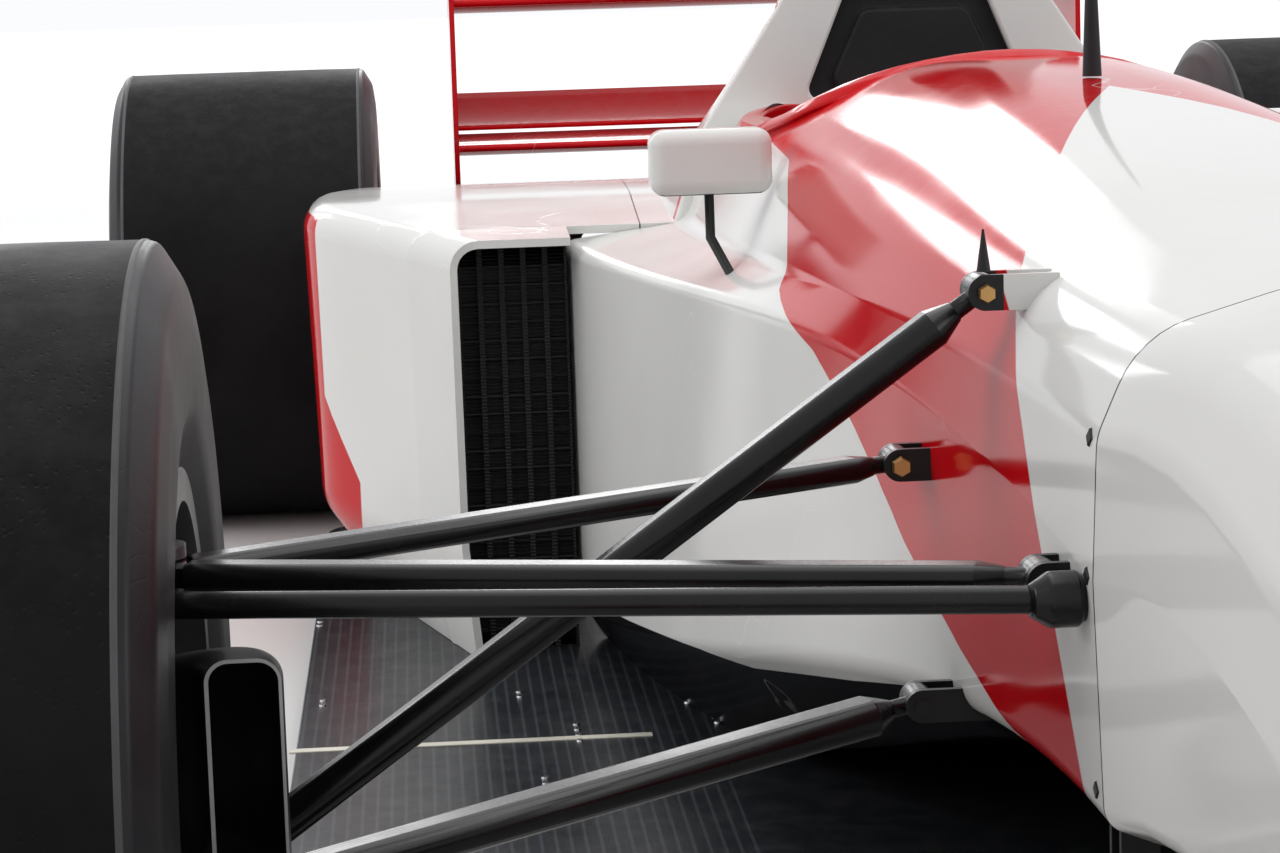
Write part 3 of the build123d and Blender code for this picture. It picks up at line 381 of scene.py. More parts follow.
def chevron(tree, place):
    """Red between the front plane and the bent rear border."""
    point, normal = plane_through(*FRONT_BORDER)
    behind = border_mask(tree, place, point, normal if normal.y > 0 else -normal)
    return maths(tree, "MULTIPLY", behind, above_line(tree, place, REAR_BORDER))


def plain_white(tree, place):
    """No red at all."""
    return None


def plain_red(tree, place):
    """Red all over, by a mask that is 1 everywhere on the car."""
    return border_mask(tree, place, at(0, -5000, 0), Vector((0, 1, 0)))


POD_UPRIGHT, POD_UPRIGHT_WAY = (680, 1885, 300), (0.9, 0.45, 0)
POD_SLANT = [(700, 1923, 340), (560, 1660, 60), (640, 1923, 340)]
POD_FLANK_X = 640
POD_TOP_FROM = (0.62, 0.64)


def pod_red(tree, place):
    """Red on the pod's side, with its border slanting forward near the sill, and white on its top."""
    upright = border_mask(tree, place, at(*POD_UPRIGHT), Vector(POD_UPRIGHT_WAY).normalized())
    point, normal = plane_through(*POD_SLANT)
    slant = border_mask(tree, place, point, normal if normal.z < 0 else -normal)
    flank = border_mask(tree, place, at(POD_FLANK_X, 0, 0), Vector((1, 0, 0)))
    beside = ramp(tree, upwardness(tree), *POD_TOP_FROM, 1.0, 0.0)
    both = maths(tree, "MAXIMUM", upright, maths(tree, "MULTIPLY", slant, flank))
    return maths(tree, "MULTIPLY", beside, both)


COVER_STRIPE = (1662, 1676)
COVER_BORDER, COVER_BORDER_WAY = (0, 2120, 640), (0, 1, -0.9)


def cover_red(tree, place):
    """A thin red stripe round the headrest's frame, and red behind a slanting border."""
    start = border_mask(tree, place, at(0, COVER_STRIPE[0], 0), Vector((0, 1, 0)))
    stop = border_mask(tree, place, at(0, COVER_STRIPE[1], 0), Vector((0, -1, 0)))
    rear = border_mask(tree, place, at(*COVER_BORDER), Vector(COVER_BORDER_WAY).normalized())
    return maths(tree, "MAXIMUM", maths(tree, "MULTIPLY", start, stop), rear)


# Gaps are (point, direction, half width in millimetres).
NOSE_GAP = ((0, -215, 0), (0, 1, 0), 1.1)
POD_GAP = ((321, 1396, 502), (1, 0.03, 0), 0.9)
TUB_PAINT = lacquer("tub_lacquer", chevron, bare=BLACK_EDGE, lines=[NOSE_GAP])
NOSE_PAINT = lacquer("nose_lacquer", plain_white, 1.6, 0.25, lines=[NOSE_GAP])
POD_PAINT = lacquer("pod_lacquer", pod_red, 3.4, 0.4, lines=[POD_GAP])
COVER_PAINT = lacquer("cover_lacquer", cover_red, 2.0, 0.3)
RED_PAINT = lacquer("red_lacquer", plain_red, 2.0, 0.2)
PLATE_RED = lacquer("plate_lacquer", plain_red, 2.0, 0.15)
MIRROR_PAINT = lacquer("mirror_lacquer", plain_white, 2.0, 0.1)
print("lacquers:", len([m for m in bpy.data.materials if m.name.endswith("lacquer")]))

# %% [markdown]
# The floor is bare carbon laminate: near black, with a fine cross weave. Its paler lengthwise stripes
# are a painted reflection of a row of windows. The suspension tubes are painted satin black, and satin
# means a middling roughness with a faint coat, so that a wide soft highlight runs along each tube.

# %% Dark finishes
# Painted reflection of windows: where its stripes start across the car, their half period and their edge.
REFLECTION_BANDS_FROM = (0.284, 0.286)
REFLECTION_BAND_HALF, REFLECTION_BAND_EDGE = 0.0065, (0.0044, 0.0058)


def laminate(name, reflection_bands):
    """Carbon laminate. A painted reflection of windows lies in stripes along the car, outside its middle.
    """
    material, tree, shader, place = start_finish(name, Coat_Weight=0.04, Coat_Roughness=0.22,
                                                 Specular_IOR_Level=0.16)
    cloth = use(tree, WEAVE, Vector=place, Scale=420.0)
    across = add(tree, "ShaderNodeSeparateXYZ", {0: place}).outputs[0]
    outer = ramp(tree, maths(tree, "ABSOLUTE", across), *REFLECTION_BANDS_FROM)
    reflection_band = ramp(tree, maths(tree, "PINGPONG", across, REFLECTION_BAND_HALF), *REFLECTION_BAND_EDGE)
    reflection_mask = maths(tree, "MULTIPLY", reflection_band, outer)
    wear = ramp(tree, noise(tree, place, 6.0, 5.0, 0.65), 0.35, 0.75)
    base = blend_colours(tree, cloth["Tone"], (0.007, 0.008, 0.009, 1), (0.017, 0.019, 0.023, 1))
    # Painted reflection: the stripes take a paler bluish tone.
    reflected_tone = blend_colours(tree, maths(tree, "MULTIPLY", reflection_mask, reflection_bands), base, (0.040, 0.047, 0.056, 1))
    dusty = use(tree, DUST, Vector=place, Amount=0.12)["Mask"]
    bump = add(tree, "ShaderNodeBump", {"Strength": 0.25, "Distance": 0.0003, "Height": cloth["Height"]})
    feed(tree, shader, Base_Color=blend_colours(tree, dusty, reflected_tone, (0.20, 0.19, 0.18, 1)),
         Roughness=ramp(tree, wear, 0.0, 1.0, 0.28, 0.42), Normal=bump.outputs[0])
    return material


def satin(name, colour, rough_low, rough_high, grain=600.0, bump_strength=0.08, metallic=0.0, coat=0.0,
          dust=0.12, wear_colour=None, shine=0.5):
    """Painted, anodised or cast surface with a fine grain, patchy gloss and a little dust."""
    material, tree, shader, place = start_finish(name, Coat_Weight=coat, Coat_Roughness=0.25,
                                                 Metallic=metallic, Specular_IOR_Level=shine)
    grains = noise(tree, place, grain, 3.0, 0.6)
    patch = noise(tree, place, 14.0, 4.0, 0.6)
    other = tuple(min(1.0, c * 1.45 + 0.004) for c in colour[:3]) + (1,)
    tone = blend_colours(tree, ramp(tree, patch, 0.35, 0.7), colour, other)
    if wear_colour is not None:
        edge = ramp(tree, add(tree, "ShaderNodeNewGeometry").outputs["Pointiness"], 0.52, 0.60)
        chipped = maths(tree, "MULTIPLY", edge, ramp(tree, noise(tree, place, 70.0, 5.0, 0.7), 0.48, 0.60))
        tone = blend_colours(tree, chipped, tone, wear_colour)
    dusty = use(tree, DUST, Vector=place, Amount=dust)["Mask"]
    bump = add(tree, "ShaderNodeBump", {"Strength": bump_strength, "Distance": 0.0005, "Height": grains})
    feed(tree, shader, Base_Color=blend_colours(tree, dusty, tone, DUST_ON_BLACK),
         Roughness=ramp(tree, patch, 0.3, 0.75, rough_low, rough_high), Normal=bump.outputs[0])
    return material


FIN_HALF, FIN_EDGE = 0.0019, (0.0010, 0.0016)


def radiator_fins():
    """Radiator core: fine level fins with dark gaps between them."""
    material, tree, shader, place = start_finish("radiator_fins", Specular_IOR_Level=0.3, Roughness=0.5)
    height = add(tree, "ShaderNodeSeparateXYZ", {0: place}).outputs[2]
    fin = ramp(tree, maths(tree, "PINGPONG", height, FIN_HALF), *FIN_EDGE)
    worn = maths(tree, "MULTIPLY", fin, ramp(tree, noise(tree, place, 60.0, 4.0), 0.3, 0.7, 0.3, 1.0))
    bump = add(tree, "ShaderNodeBump", {"Strength": 0.7, "Distance": 0.001, "Height": fin})
    feed(tree, shader, Normal=bump.outputs[0],
         Base_Color=blend_colours(tree, worn, (0.002, 0.002, 0.002, 1), (0.026, 0.026, 0.028, 1)))
    return material


WORN_METAL = (0.5, 0.5, 0.5, 1)
FLOOR_CARBON = laminate("floor_laminate", 1.0)
BODY_CARBON = laminate("body_laminate", 0.25)
TUBE_BLACK = satin("tube_black", (0.004, 0.004, 0.0045, 1), 0.20, 0.30, coat=0.04, dust=0.02, shine=0.24)
TRIM_BLACK = satin("trim_black", BLACK, 0.35, 0.55, bump_strength=0.15, shine=0.22)
DUCT_BLACK = satin("duct_black", (0.006, 0.006, 0.007, 1), 0.30, 0.45, coat=0.05, shine=0.3)
FIN_BLACK = radiator_fins()
CAST_METAL = satin("cast_metal", (0.23, 0.23, 0.22, 1), 0.42, 0.60, 260.0, 0.35, 0.85,
                   wear_colour=WORN_METAL)
STEEL = satin("machined_steel", (0.50, 0.50, 0.52, 1), 0.20, 0.34, 900.0, 0.05, 1.0, dust=0.05)
BRASS = satin("brass_fitting", (0.42, 0.24, 0.09, 1), 0.28, 0.45, 500.0, 0.12, 1.0, dust=0.1)
UPRIGHT = satin("upright_metal", (0.10, 0.10, 0.105, 1), 0.38, 0.55, 300.0, 0.3, 0.7,
                wear_colour=WORN_METAL)
CALIPER = satin("caliper_grey", (0.20, 0.20, 0.21, 1), 0.32, 0.45, 500.0, 0.12, 0.8,
                wear_colour=(0.6, 0.6, 0.6, 1))
DISC = satin("carbon_disc", (0.020, 0.020, 0.021, 1), 0.45, 0.65, 180.0, 0.25)
EXHAUST = satin("exhaust_steel", (0.30, 0.21, 0.15, 1), 0.30, 0.50, 120.0, 0.10, 1.0)
FITTING = satin("dark_fitting", (0.009, 0.008, 0.008, 1), 0.28, 0.42, 500.0, 0.12, 0.2, shine=0.3,
                dust=0.03)
RIM_PAINT = satin("rim_metal", (0.028, 0.028, 0.030, 1), 0.28, 0.42, 500.0, 0.10, 0.3, 0.6)
JOINT_BEIGE = satin("joint_strip", (0.52, 0.49, 0.42, 1), 0.45, 0.60)
GLASS = satin("mirror_glass", (0.80, 0.82, 0.84, 1), 0.02, 0.04, 900.0, 0.0, 1.0, dust=0.03)
LAMP_RED = satin("lamp_red", (0.35, 0.008, 0.008, 1), 0.10, 0.18, 300.0, 0.05, 0.0, 1.0)
PAD_BLACK = satin("padded_black", (0.011, 0.011, 0.012, 1), 0.55, 0.75, 700.0, 0.5, shine=0.2)
print("finishes so far:", len(bpy.data.materials))

# %% [markdown]
# Slick rubber has two faces. The tread is dull and pitted where bits of grit have torn out of it. The
# side wall is smoother, a little paler and crossed by fine cracks. Both patterns read the piece's own
# coordinates, so they turn with the wheel.

# %% Rubber
PITS, pits_in, pits_out = new_group(
    "pitted_rubber", [("Vector", "Vector", None), ("Scale", "Float", 160.0)],
    [("Tone", "Float"), ("Height", "Float")])
pores = add(PITS, "ShaderNodeTexVoronoi",
            {"Vector": pits_in["Vector"], "Scale": pits_in["Scale"], "Randomness": 1.0})
hole = ramp(PITS, pores.outputs["Distance"], 0.10, 0.26)
field = ramp(PITS, noise(PITS, pits_in["Vector"], 26.0, 3.0), 0.42, 0.62)
pitted = maths(PITS, "MAXIMUM", hole, maths(PITS, "SUBTRACT", 1.0, field))
fine = noise(PITS, pits_in["Vector"], 900.0, 4.0, 0.7)
PITS.links.new(noise(PITS, pits_in["Vector"], 7.0, 5.0, 0.65), pits_out["Tone"])
PITS.links.new(maths(PITS, "ADD", pitted, maths(PITS, "MULTIPLY", fine, 0.35)), pits_out["Height"])


def tread_rubber():
    """Dull running surface."""
    material, tree, shader, place = start_finish("tread_rubber", Specular_IOR_Level=0.07)
    pits = use(tree, PITS, Vector=place, Scale=170.0)
    tone = blend_colours(tree, ramp(tree, pits["Tone"], 0.35, 0.7),
                         (0.005, 0.005, 0.0055, 1), (0.011, 0.011, 0.012, 1))
    bump = add(tree, "ShaderNodeBump", {"Strength": 0.6, "Distance": 0.0008, "Height": pits["Height"]})
    dusty = use(tree, DUST, Vector=place, Amount=0.10)["Mask"]
    feed(tree, shader, Base_Color=blend_colours(tree, dusty, tone, (0.16, 0.16, 0.155, 1)),
         Roughness=ramp(tree, pits["Tone"], 0.3, 0.7, 0.42, 0.60), Normal=bump.outputs[0])
    return material


def wall_rubber():
    """Side wall: smoother and paler, with hairlines."""
    material, tree, shader, place = start_finish("wall_rubber", Specular_IOR_Level=0.22)
    hair = add(tree, "ShaderNodeTexVoronoi", {"Vector": place, "Scale": 60.0}, feature="DISTANCE_TO_EDGE")
    lines = ramp(tree, hair.outputs[0], 0.0, 0.05, 0.0, 1.0)
    cloud = noise(tree, place, 9.0, 5.0, 0.6)
    tone = blend_colours(tree, ramp(tree, cloud, 0.35, 0.7),
                         (0.011, 0.011, 0.0125, 1), (0.024, 0.023, 0.026, 1))
    bump = add(tree, "ShaderNodeBump", {"Strength": 0.12, "Distance": 0.0004, "Height": lines})
    feed(tree, shader, Base_Color=tone, Roughness=ramp(tree, cloud, 0.3, 0.7, 0.34, 0.48),
         Normal=bump.outputs[0])
    return material


TREAD, WALL = tread_rubber(), wall_rubber()
MOULD_LINE = satin("mould_line", (0.055, 0.055, 0.055, 1), 0.5, 0.6, shine=0.3)

# %% [markdown]
# ## Making pieces
# Every new piece ends the same way: its mesh gets materials, smooth shading that stops at sharp
# edges and a body to ride on, and where it stands for a solid of the frame, that solid is hidden. The
# weighted normals keep wide flat panels flat in the reflections, next to their rounded edges.

# %% Finishing a piece


def keep_flat(piece):
    """Weighted normals, which leave the sharp edges as they are."""
    keep = piece.modifiers.new("flat panels", "WEIGHTED_NORMAL")
    keep.keep_sharp = True


def eased(piece, width, segments, angle):
    """Narrow bevel on the edges that are sharper than an angle in degrees."""
    bevel = piece.modifiers.new("eased edges", "BEVEL")
    bevel.width, bevel.segments, bevel.profile = width, segments, 0.5
    bevel.limit_method, bevel.angle_limit = "ANGLE", math.radians(angle)


def finish_piece(name, mesh, body, materials, replaces=(), sharp=32, weighted=True):
    """Turn a mesh into a piece of the car."""
    piece = bpy.data.objects.new(name, mesh)
    scene.collection.objects.link(piece)
    if len(mesh.materials) == 0:
        for material in materials:
            mesh.materials.append(material)
    mesh.shade_smooth()
    mesh.set_sharp_from_angle(angle=math.radians(sharp))
    if weighted:
        keep_flat(piece)
    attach(piece, body)
    if replaces:
        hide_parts(*replaces)
    return piece


def to_mesh(bm, name):
    """Close a bmesh into a mesh."""
    mesh = bpy.data.meshes.new(name)
    bm.to_mesh(mesh)
    bm.free()
    return mesh


def evaluated(piece):
    """The mesh that a piece's modifiers make."""
    bpy.context.view_layer.update()
    graph = bpy.context.evaluated_depsgraph_get()
    return bpy.data.meshes.new_from_object(piece.evaluated_get(graph), depsgraph=graph)


def carved(target, target_material, cutters):
    """Cut several closed bmeshes out of one. Each cutter is (bmesh, material of the cut faces)."""
    base = bpy.data.objects.new("carving", to_mesh(target, "carving"))
    base.data.materials.append(target_material)
    scene.collection.objects.link(base)
    helpers = []
    for index, (cutter, material) in enumerate(cutters):
        tool = bpy.data.objects.new(f"cutter_{index}", to_mesh(cutter, "cutter"))
        tool.data.materials.append(material)
        scene.collection.objects.link(tool)
        cut = base.modifiers.new(f"cut {index}", "BOOLEAN")
        cut.operation, cut.solver, cut.object = "DIFFERENCE", "EXACT", tool
        cut.material_mode = "TRANSFER"
        helpers.append(tool)
    mesh = evaluated(base)
    for helper in [base, *helpers]:
        bpy.data.objects.remove(helper)
    return mesh


# %% [markdown]
# A solid of the frame arrives as loose triangles. `dressed` copies it, welds the copy, joins the
# triangles of flat faces again and eases the sharp edges with a narrow bevel. Real edges are never
# perfectly sharp, and that thin rounded line is what catches the light.

# %% Dressing a solid of the frame
WELD, FLAT_ANGLE, SHARP_ANGLE = 0.00002, 0.5, 38


def welded(node):
    """A merged copy of a solid, with its flat faces in one piece."""
    bm = bmesh.new()
    bm.from_mesh(frame["nodes"][node].data)
    bmesh.ops.remove_doubles(bm, verts=bm.verts, dist=WELD)
    bmesh.ops.dissolve_limit(bm, angle_limit=math.radians(FLAT_ANGLE), verts=bm.verts, edges=bm.edges,
                             delimit={"NORMAL"})
    return bm


def dressed(node, material, body, ease):
    """Stand-in for a solid, with eased edges and clean shading."""
    mesh = to_mesh(welded(node), node)
    piece = finish_piece(node + "_dressed", mesh, body, [material], [node], weighted=False)
    if ease:
        eased(piece, ease, 2, SHARP_ANGLE)
    keep_flat(piece)


def furthest(mesh, node):
    """Largest distance of a mesh's points from a solid of the frame, in millimetres."""
    solid = frame["nodes"][node].data
    tree = BVHTree.FromPolygons([v.co for v in solid.vertices], [p.vertices for p in solid.polygons])
    return round(max(tree.find_nearest(v.co)[3] for v in mesh.vertices) / MM, 1)


# %% [markdown]
# ## Body skins
# A racing body is drawn as cross-sections. Each section here is half an outline, from the keel up to
# the crown, and every corner has its own radius. `rounded` turns the corners into short arcs with the
# same number of points, so that all sections match. Between the drawn sections a smooth curve fills
# in more of them, and `lofted` extrudes the first ring's edges onto each next ring.

# %% Sections and lofts
ARC_STEPS, RING_STEP, LEAST_RADIUS = 6, 50, 4
NEARLY_STRAIGHT = math.radians(89.5)


def rounded(corners, closed):
    """Points of an outline whose corners are arcs; each corner is (u, v, radius)."""
    points = []
    count = len(corners)
    for index, (u, v, radius) in enumerate(corners):
        here = Vector((u, v))
        before, after = corners[index - 1], corners[(index + 1) % count]
        if radius == 0 or (not closed and index in (0, count - 1)):
            points.append(here)
            continue
        back = Vector(before[:2]) - here
        forth = Vector(after[:2]) - here
        half = back.angle(forth) / 2
        if half > NEARLY_STRAIGHT:
            points.append(here)
            continue
        reach = min(radius / math.tan(half), 0.49 * back.length, 0.49 * forth.length)
        true_radius = reach * math.tan(half)
        inwards = (back.normalized() + forth.normalized()).normalized()
        middle = here + inwards * (true_radius / math.sin(half))
        start = here + back.normalized() * reach - middle
        sweep = start.angle_signed(here + forth.normalized() * reach - middle)
        for step in range(ARC_STEPS + 1):
            angle = -sweep * step / ARC_STEPS
            points.append(middle + Matrix.Rotation(angle, 2) @ start)
    return points


def smooth_table(table):
    """More rows for a table of (station, corners), on one curve through all its rows."""
    stations = [row[0] for row in table]

    def curve(values, where):
        """Value at a station, on the one polynomial that passes through all the given values."""
        total = 0.0
        for i, value in enumerate(values):
            weight = 1.0
            for j, other in enumerate(stations):
                if j != i:
                    weight *= (where - other) / (stations[i] - other)
            total += value * weight
        return total

    first, last = stations[0], stations[-1]
    count = max(2, round(abs(last - first) / RING_STEP))
    rows = []
    for index in range(count + 1):
        where = first + (last - first) * index / count
        corners = [tuple(curve([row[1][c][k] for row in table], where) for k in range(3))
                   for c in range(len(table[0][1]))]
        rows.append((where, corners))
    return rows


def full_ring(station, corners):
    """Closed ring of a section that is the same on both sides of the car."""
    outline = list(corners) + [(-u, v, r) for u, v, r in reversed(corners)]
    return [at(p.x, station, p.y) for p in rounded(outline, True)]


def neighbours(row, closed=True):
    """Pairs of items that follow each other."""
    return list(zip(row, row[1:] + row[:1])) if closed else list(zip(row, row[1:]))


def lofted(rings, closed=True, capped=True):
    """Skin over rings of equal count."""
    bm = bmesh.new()
    row = [bm.verts.new(point) for point in rings[0]]
    edges = [bm.edges.new(pair) for pair in neighbours(row, closed)]
    first_edges = list(edges)
    for ring in rings[1:]:
        grown = bmesh.ops.extrude_edge_only(bm, edges=edges)["geom"]
        fresh = {item for item in grown if isinstance(item, bmesh.types.BMVert)}
        row = [next(e.other_vert(v) for e in v.link_edges if e.other_vert(v) in fresh) for v in row]
        for vert, point in zip(row, ring):
            vert.co = point
        edges = [bm.edges.get(pair) for pair in neighbours(row, closed)]
    if capped:
        bmesh.ops.contextual_create(bm, geom=first_edges)
        bmesh.ops.contextual_create(bm, geom=edges)
    bmesh.ops.recalc_face_normals(bm, faces=bm.faces)
    return bm


def body_skin(table):
    """Closed smooth skin over a table of sections."""
    return lofted([full_ring(station, corners) for station, corners in smooth_table(table)])


def pushed(points, travel):
    """Block made by extruding the flat face through some points."""
    bm = bmesh.new()
    face = bm.faces.new([bm.verts.new(point) for point in points])
    grown = bmesh.ops.extrude_face_region(bm, geom=[face])["geom"]
    moved = [v for v in grown if isinstance(v, bmesh.types.BMVert)]
    bmesh.ops.translate(bm, verts=moved, vec=travel)
    bmesh.ops.recalc_face_normals(bm, faces=bm.faces)
    return bm


def all_of(bm):
    """Every vertex, edge and face of a bmesh."""
    return list(bm.verts) + list(bm.edges) + list(bm.faces)


def cut_below(bm, level):
    """Take away what lies below a height, and close the cut."""
    cut = bmesh.ops.bisect_plane(bm, geom=all_of(bm), plane_co=at(0, 0, level), plane_no=(0, 0, 1),
                                 clear_inner=True)
    loops = [e for e in cut["geom_cut"] if isinstance(e, bmesh.types.BMEdge)]
    bmesh.ops.holes_fill(bm, edges=loops, sides=0)
    bmesh.ops.recalc_face_normals(bm, faces=bm.faces)
    return bm


def shrunk(table, wall):
    """The same sections pulled in by a wall."""
    result = []
    for station, corners in table:
        low, high = (pick(v for u, v, r in corners) for pick in (min, max))
        inner = []
        for u, v, r in corners:
            lift = wall * (1 - 2 * (v - low) / (high - low))
            inner.append((u - wall, v + lift, max(r - wall, LEAST_RADIUS)))
        result.append((station, inner))
    return result


# %% [markdown]
# The monocoque is the tub that the driver lies in. Its four sections run from the front bulkhead to
# the engine. The low keel, the flat sides, the shelf beside the cockpit and the round crown are all
# in the corners of those sections. The cockpit is a rounded hole cut from above, and the tub is
# hollow, because its inside shows through that hole.

# %% Monocoque
# A row is a station and its corners. A corner is (half width, height, radius), from the keel up.
FLOOR_TOP = 45
TUB_FRONT, TUB_REAR, TUB_WALL, BULKHEAD = -215, 1640, 14, 70
TUB = [
    (TUB_FRONT, [(146, 294, 20), (192, 312, 16), (197, 450, 30),
                 (194, 530, 40), (170, 585, 70), (75, 612, 180)]),
    (350, [(160, 225, 30), (236, 278, 25), (234, 500, 30),
           (224, 542, 40), (196, 608, 100), (90, 662, 200)]),
    (1020, [(240, 60, 25), (324, 160, 25), (303, 494, 18),
            (252, 524, 30), (206, 634, 150), (98, 700, 190)]),
    (TUB_REAR, [(370, 48, 12), (396, 92, 16), (402, 495, 18),
                (262, 512, 30), (234, 598, 30), (180, 630, 28)]),
]
COCKPIT = [(150, 1066, 120), (196, 1290, 300), (196, 1500, 300), (150, 1618, 60),
           (-150, 1618, 60), (-196, 1500, 300), (-196, 1290, 300), (-150, 1066, 120)]
COCKPIT_CUT = (470, 820)

outer_skin = cut_below(body_skin(TUB), FLOOR_TOP)
tub_surface = BVHTree.FromBMesh(outer_skin)
inner_rows = [row for row in smooth_table(shrunk(TUB, TUB_WALL))
              if TUB_FRONT + BULKHEAD < row[0] < TUB_REAR - TUB_WALL]
inner_skin = cut_below(lofted([full_ring(*row) for row in inner_rows]), FLOOR_TOP + TUB_WALL)
hatch = pushed([at(p.x, p.y, COCKPIT_CUT[0]) for p in rounded(COCKPIT, True)],
               Vector((0, 0, (COCKPIT_CUT[1] - COCKPIT_CUT[0]) * MM)))
tub_mesh = carved(outer_skin, TUB_PAINT, [(inner_skin, BODY_CARBON), (hatch, BODY_CARBON)])
finish_piece("monocoque_skin", tub_mesh, "chassis", [], ["monocoque"])
print("monocoque:", len(tub_mesh.polygons), "faces, furthest from the solid",
      furthest(tub_mesh, "monocoque"), "mm")

# %% [markdown]
# The coaming is the raised red lip round the cockpit opening. It follows the opening in plan and the
# tub's surface in height. The lip is a small rounded section, carried along that route and closed on
# itself. Each place's height is found by dropping a ray onto the tub's skin.

# %% Coaming lip
LIP_SECTION = [(-4, -12, 2), (-4, 7, 6), (5, 12, 8), (19, 4, 10), (27, -10, 3)]
LIP_EASING, LIP_STEP, LIP_PROBE = 12, 25, 8
LIP_FADE, LIP_BESIDE = (1075, 1200), 0.35
COCKPIT_MIDDLE, ABOVE_ALL = Vector((0, 1340)), 1000


def skin_height(x, station):
    """Height of the tub's skin under a point of the plan, in millimetres."""
    return tub_surface.ray_cast(at(x, station, ABOVE_ALL), Vector((0, 0, -1)))[0].z / MM


def lip_route():
    """Points of the cockpit's outline, close together, each with the direction away from the opening."""
    outline = rounded(COCKPIT, True)
    dense = []
    for a, b in neighbours(outline):
        pieces = max(1, round((b - a).length / LIP_STEP))
        dense += [a.lerp(b, k / pieces) for k in range(pieces)]
    dense = [p for i, p in enumerate(dense) if (p - dense[i - 1]).length > 2]
    ways = []
    for index, place in enumerate(dense):
        along = (dense[(index + 1) % len(dense)] - dense[index - 1]).normalized()
        out = Vector((along.y, -along.x))
        ways.append(-out if out.dot(place - COCKPIT_MIDDLE) < 0 else out)
    return dense, ways


def lip_rings():
    """Rings of the lip along its route. The lip is low beside the driver and full in front."""
    places, ways = lip_route()
    probes = [place + out * LIP_PROBE for place, out in zip(places, ways)]
    heights = [skin_height(probe.x, min(probe.y, TUB_REAR - 2)) for probe in probes]
    for _ in range(LIP_EASING):
        heights = [(heights[i - 1] + 2 * h + heights[(i + 1) % len(heights)]) / 4
                   for i, h in enumerate(heights)]
    made = []
    for place, out, height in zip(places, ways, heights):
        fade = min(1, max(0, (LIP_FADE[1] - place.y) / (LIP_FADE[1] - LIP_FADE[0])))
        share = LIP_BESIDE + (1 - LIP_BESIDE) * fade
        plans = [(place + out * p.x, p.y) for p in rounded(LIP_SECTION, True)]
        made.append([at(plan.x, plan.y, height + (rise * share if rise > 0 else rise))
                     for plan, rise in plans])
    return made


rings = lip_rings()
lip = lofted(rings + rings[:1], capped=False)
bmesh.ops.remove_doubles(lip, verts=lip.verts, dist=0.0001)
for _ in range(2):
    bmesh.ops.smooth_vert(lip, verts=lip.verts, factor=0.5, use_axis_x=True, use_axis_y=True,
                          use_axis_z=True)
bmesh.ops.recalc_face_normals(lip, faces=lip.faces)
finish_piece("coaming_lip", to_mesh(lip, "coaming_lip"), "chassis", [RED_PAINT], sharp=60,
             weighted=False)
print("coaming lip:", len(rings), "rings")

# %% [markdown]
# The nose cone carries on from the tub's front section and droops towards its tip. It is bolted on,
# so a fine seam stays between the two, with small black fasteners along it.

# %% Nose cone
NOSE = [
    (TUB_FRONT - 0.6, TUB[0][1]),
    (-640, [(96, 214, 20), (142, 236, 16), (150, 330, 30), (146, 396, 36), (116, 446, 40), (50, 464, 30)]),
    (-980, [(44, 152, 12), (70, 164, 12), (74, 196, 16), (72, 224, 16), (58, 250, 18), (26, 260, 16)]),
    (-1080, [(16, 182, 5), (27, 188, 5), (29, 198, 6), (28, 206, 6), (22, 214, 6), (10, 218, 5)]),
]
nose_mesh = to_mesh(body_skin(NOSE), "nose_cone_skin")
finish_piece("nose_cone_skin", nose_mesh, "chassis", [NOSE_PAINT], ["nose_cone"])
print("nose: furthest from the solid", furthest(nose_mesh, "nose_cone"), "mm")

# %% [markdown]
# The engine cover rises behind the driver's head. Seen from the front, its wall is cut twice: a
# recess for the headrest panel and the mouth of the airbox above it. The two white pillars in the
# photograph are what the cuts leave standing. The cover is hollow and open below.

# %% Engine cover
COVER_REAR, COVER_WALL, COVER_FRONT_WALL = 2960, 8, 14
COVER = [
    (TUB_REAR, [(285, 470, 8), (246, 606, 35), (150, 752, 60), (112, 880, 40), (72, 950, 44)]),
    (2080, [(300, 452, 8), (232, 560, 50), (122, 688, 60), (78, 800, 50), (42, 860, 36)]),
    (2520, [(250, 416, 8), (186, 500, 50), (92, 582, 50), (52, 656, 34), (26, 690, 22)]),
    (COVER_REAR, [(120, 372, 8), (96, 430, 30), (62, 478, 30), (36, 512, 20), (16, 532, 12)]),
]
HEADREST = [(126, 642, 12), (74, 768, 16), (-74, 768, 16), (-126, 642, 12)]
MOUTH = [(74, 800, 24), (60, 928, 40), (-60, 928, 40), (-74, 800, 24)]
RECESS_AHEAD, RECESS_DEEP, COVER_OPEN_Z, ROLLED_EDGE = 20, 60, 300, 0.0035


def cover_inside():
    """Hollow of the engine cover, deeper than its lower edge."""
    rows = []
    for station, corners in smooth_table(COVER):
        if station < TUB_REAR + COVER_FRONT_WALL or station > COVER_REAR - COVER_WALL:
            continue
        sides = [(u - COVER_WALL, v - COVER_WALL * 0.6, max(r - COVER_WALL, LEAST_RADIUS))
                 for u, v, r in corners[1:]]
        rows.append((station, [(corners[0][0] - COVER_WALL, COVER_OPEN_Z, LEAST_RADIUS)] + sides))
    return lofted([full_ring(*row) for row in rows])


def recess(outline):
    """Block from a front outline of (x, z, radius), from ahead of the cover to behind its front wall."""
    points = [at(p.x, TUB_REAR - RECESS_AHEAD, p.y) for p in rounded(outline, True)]
    return pushed(points, Vector((0, (RECESS_AHEAD + COVER_FRONT_WALL + RECESS_DEEP) * MM, 0)))


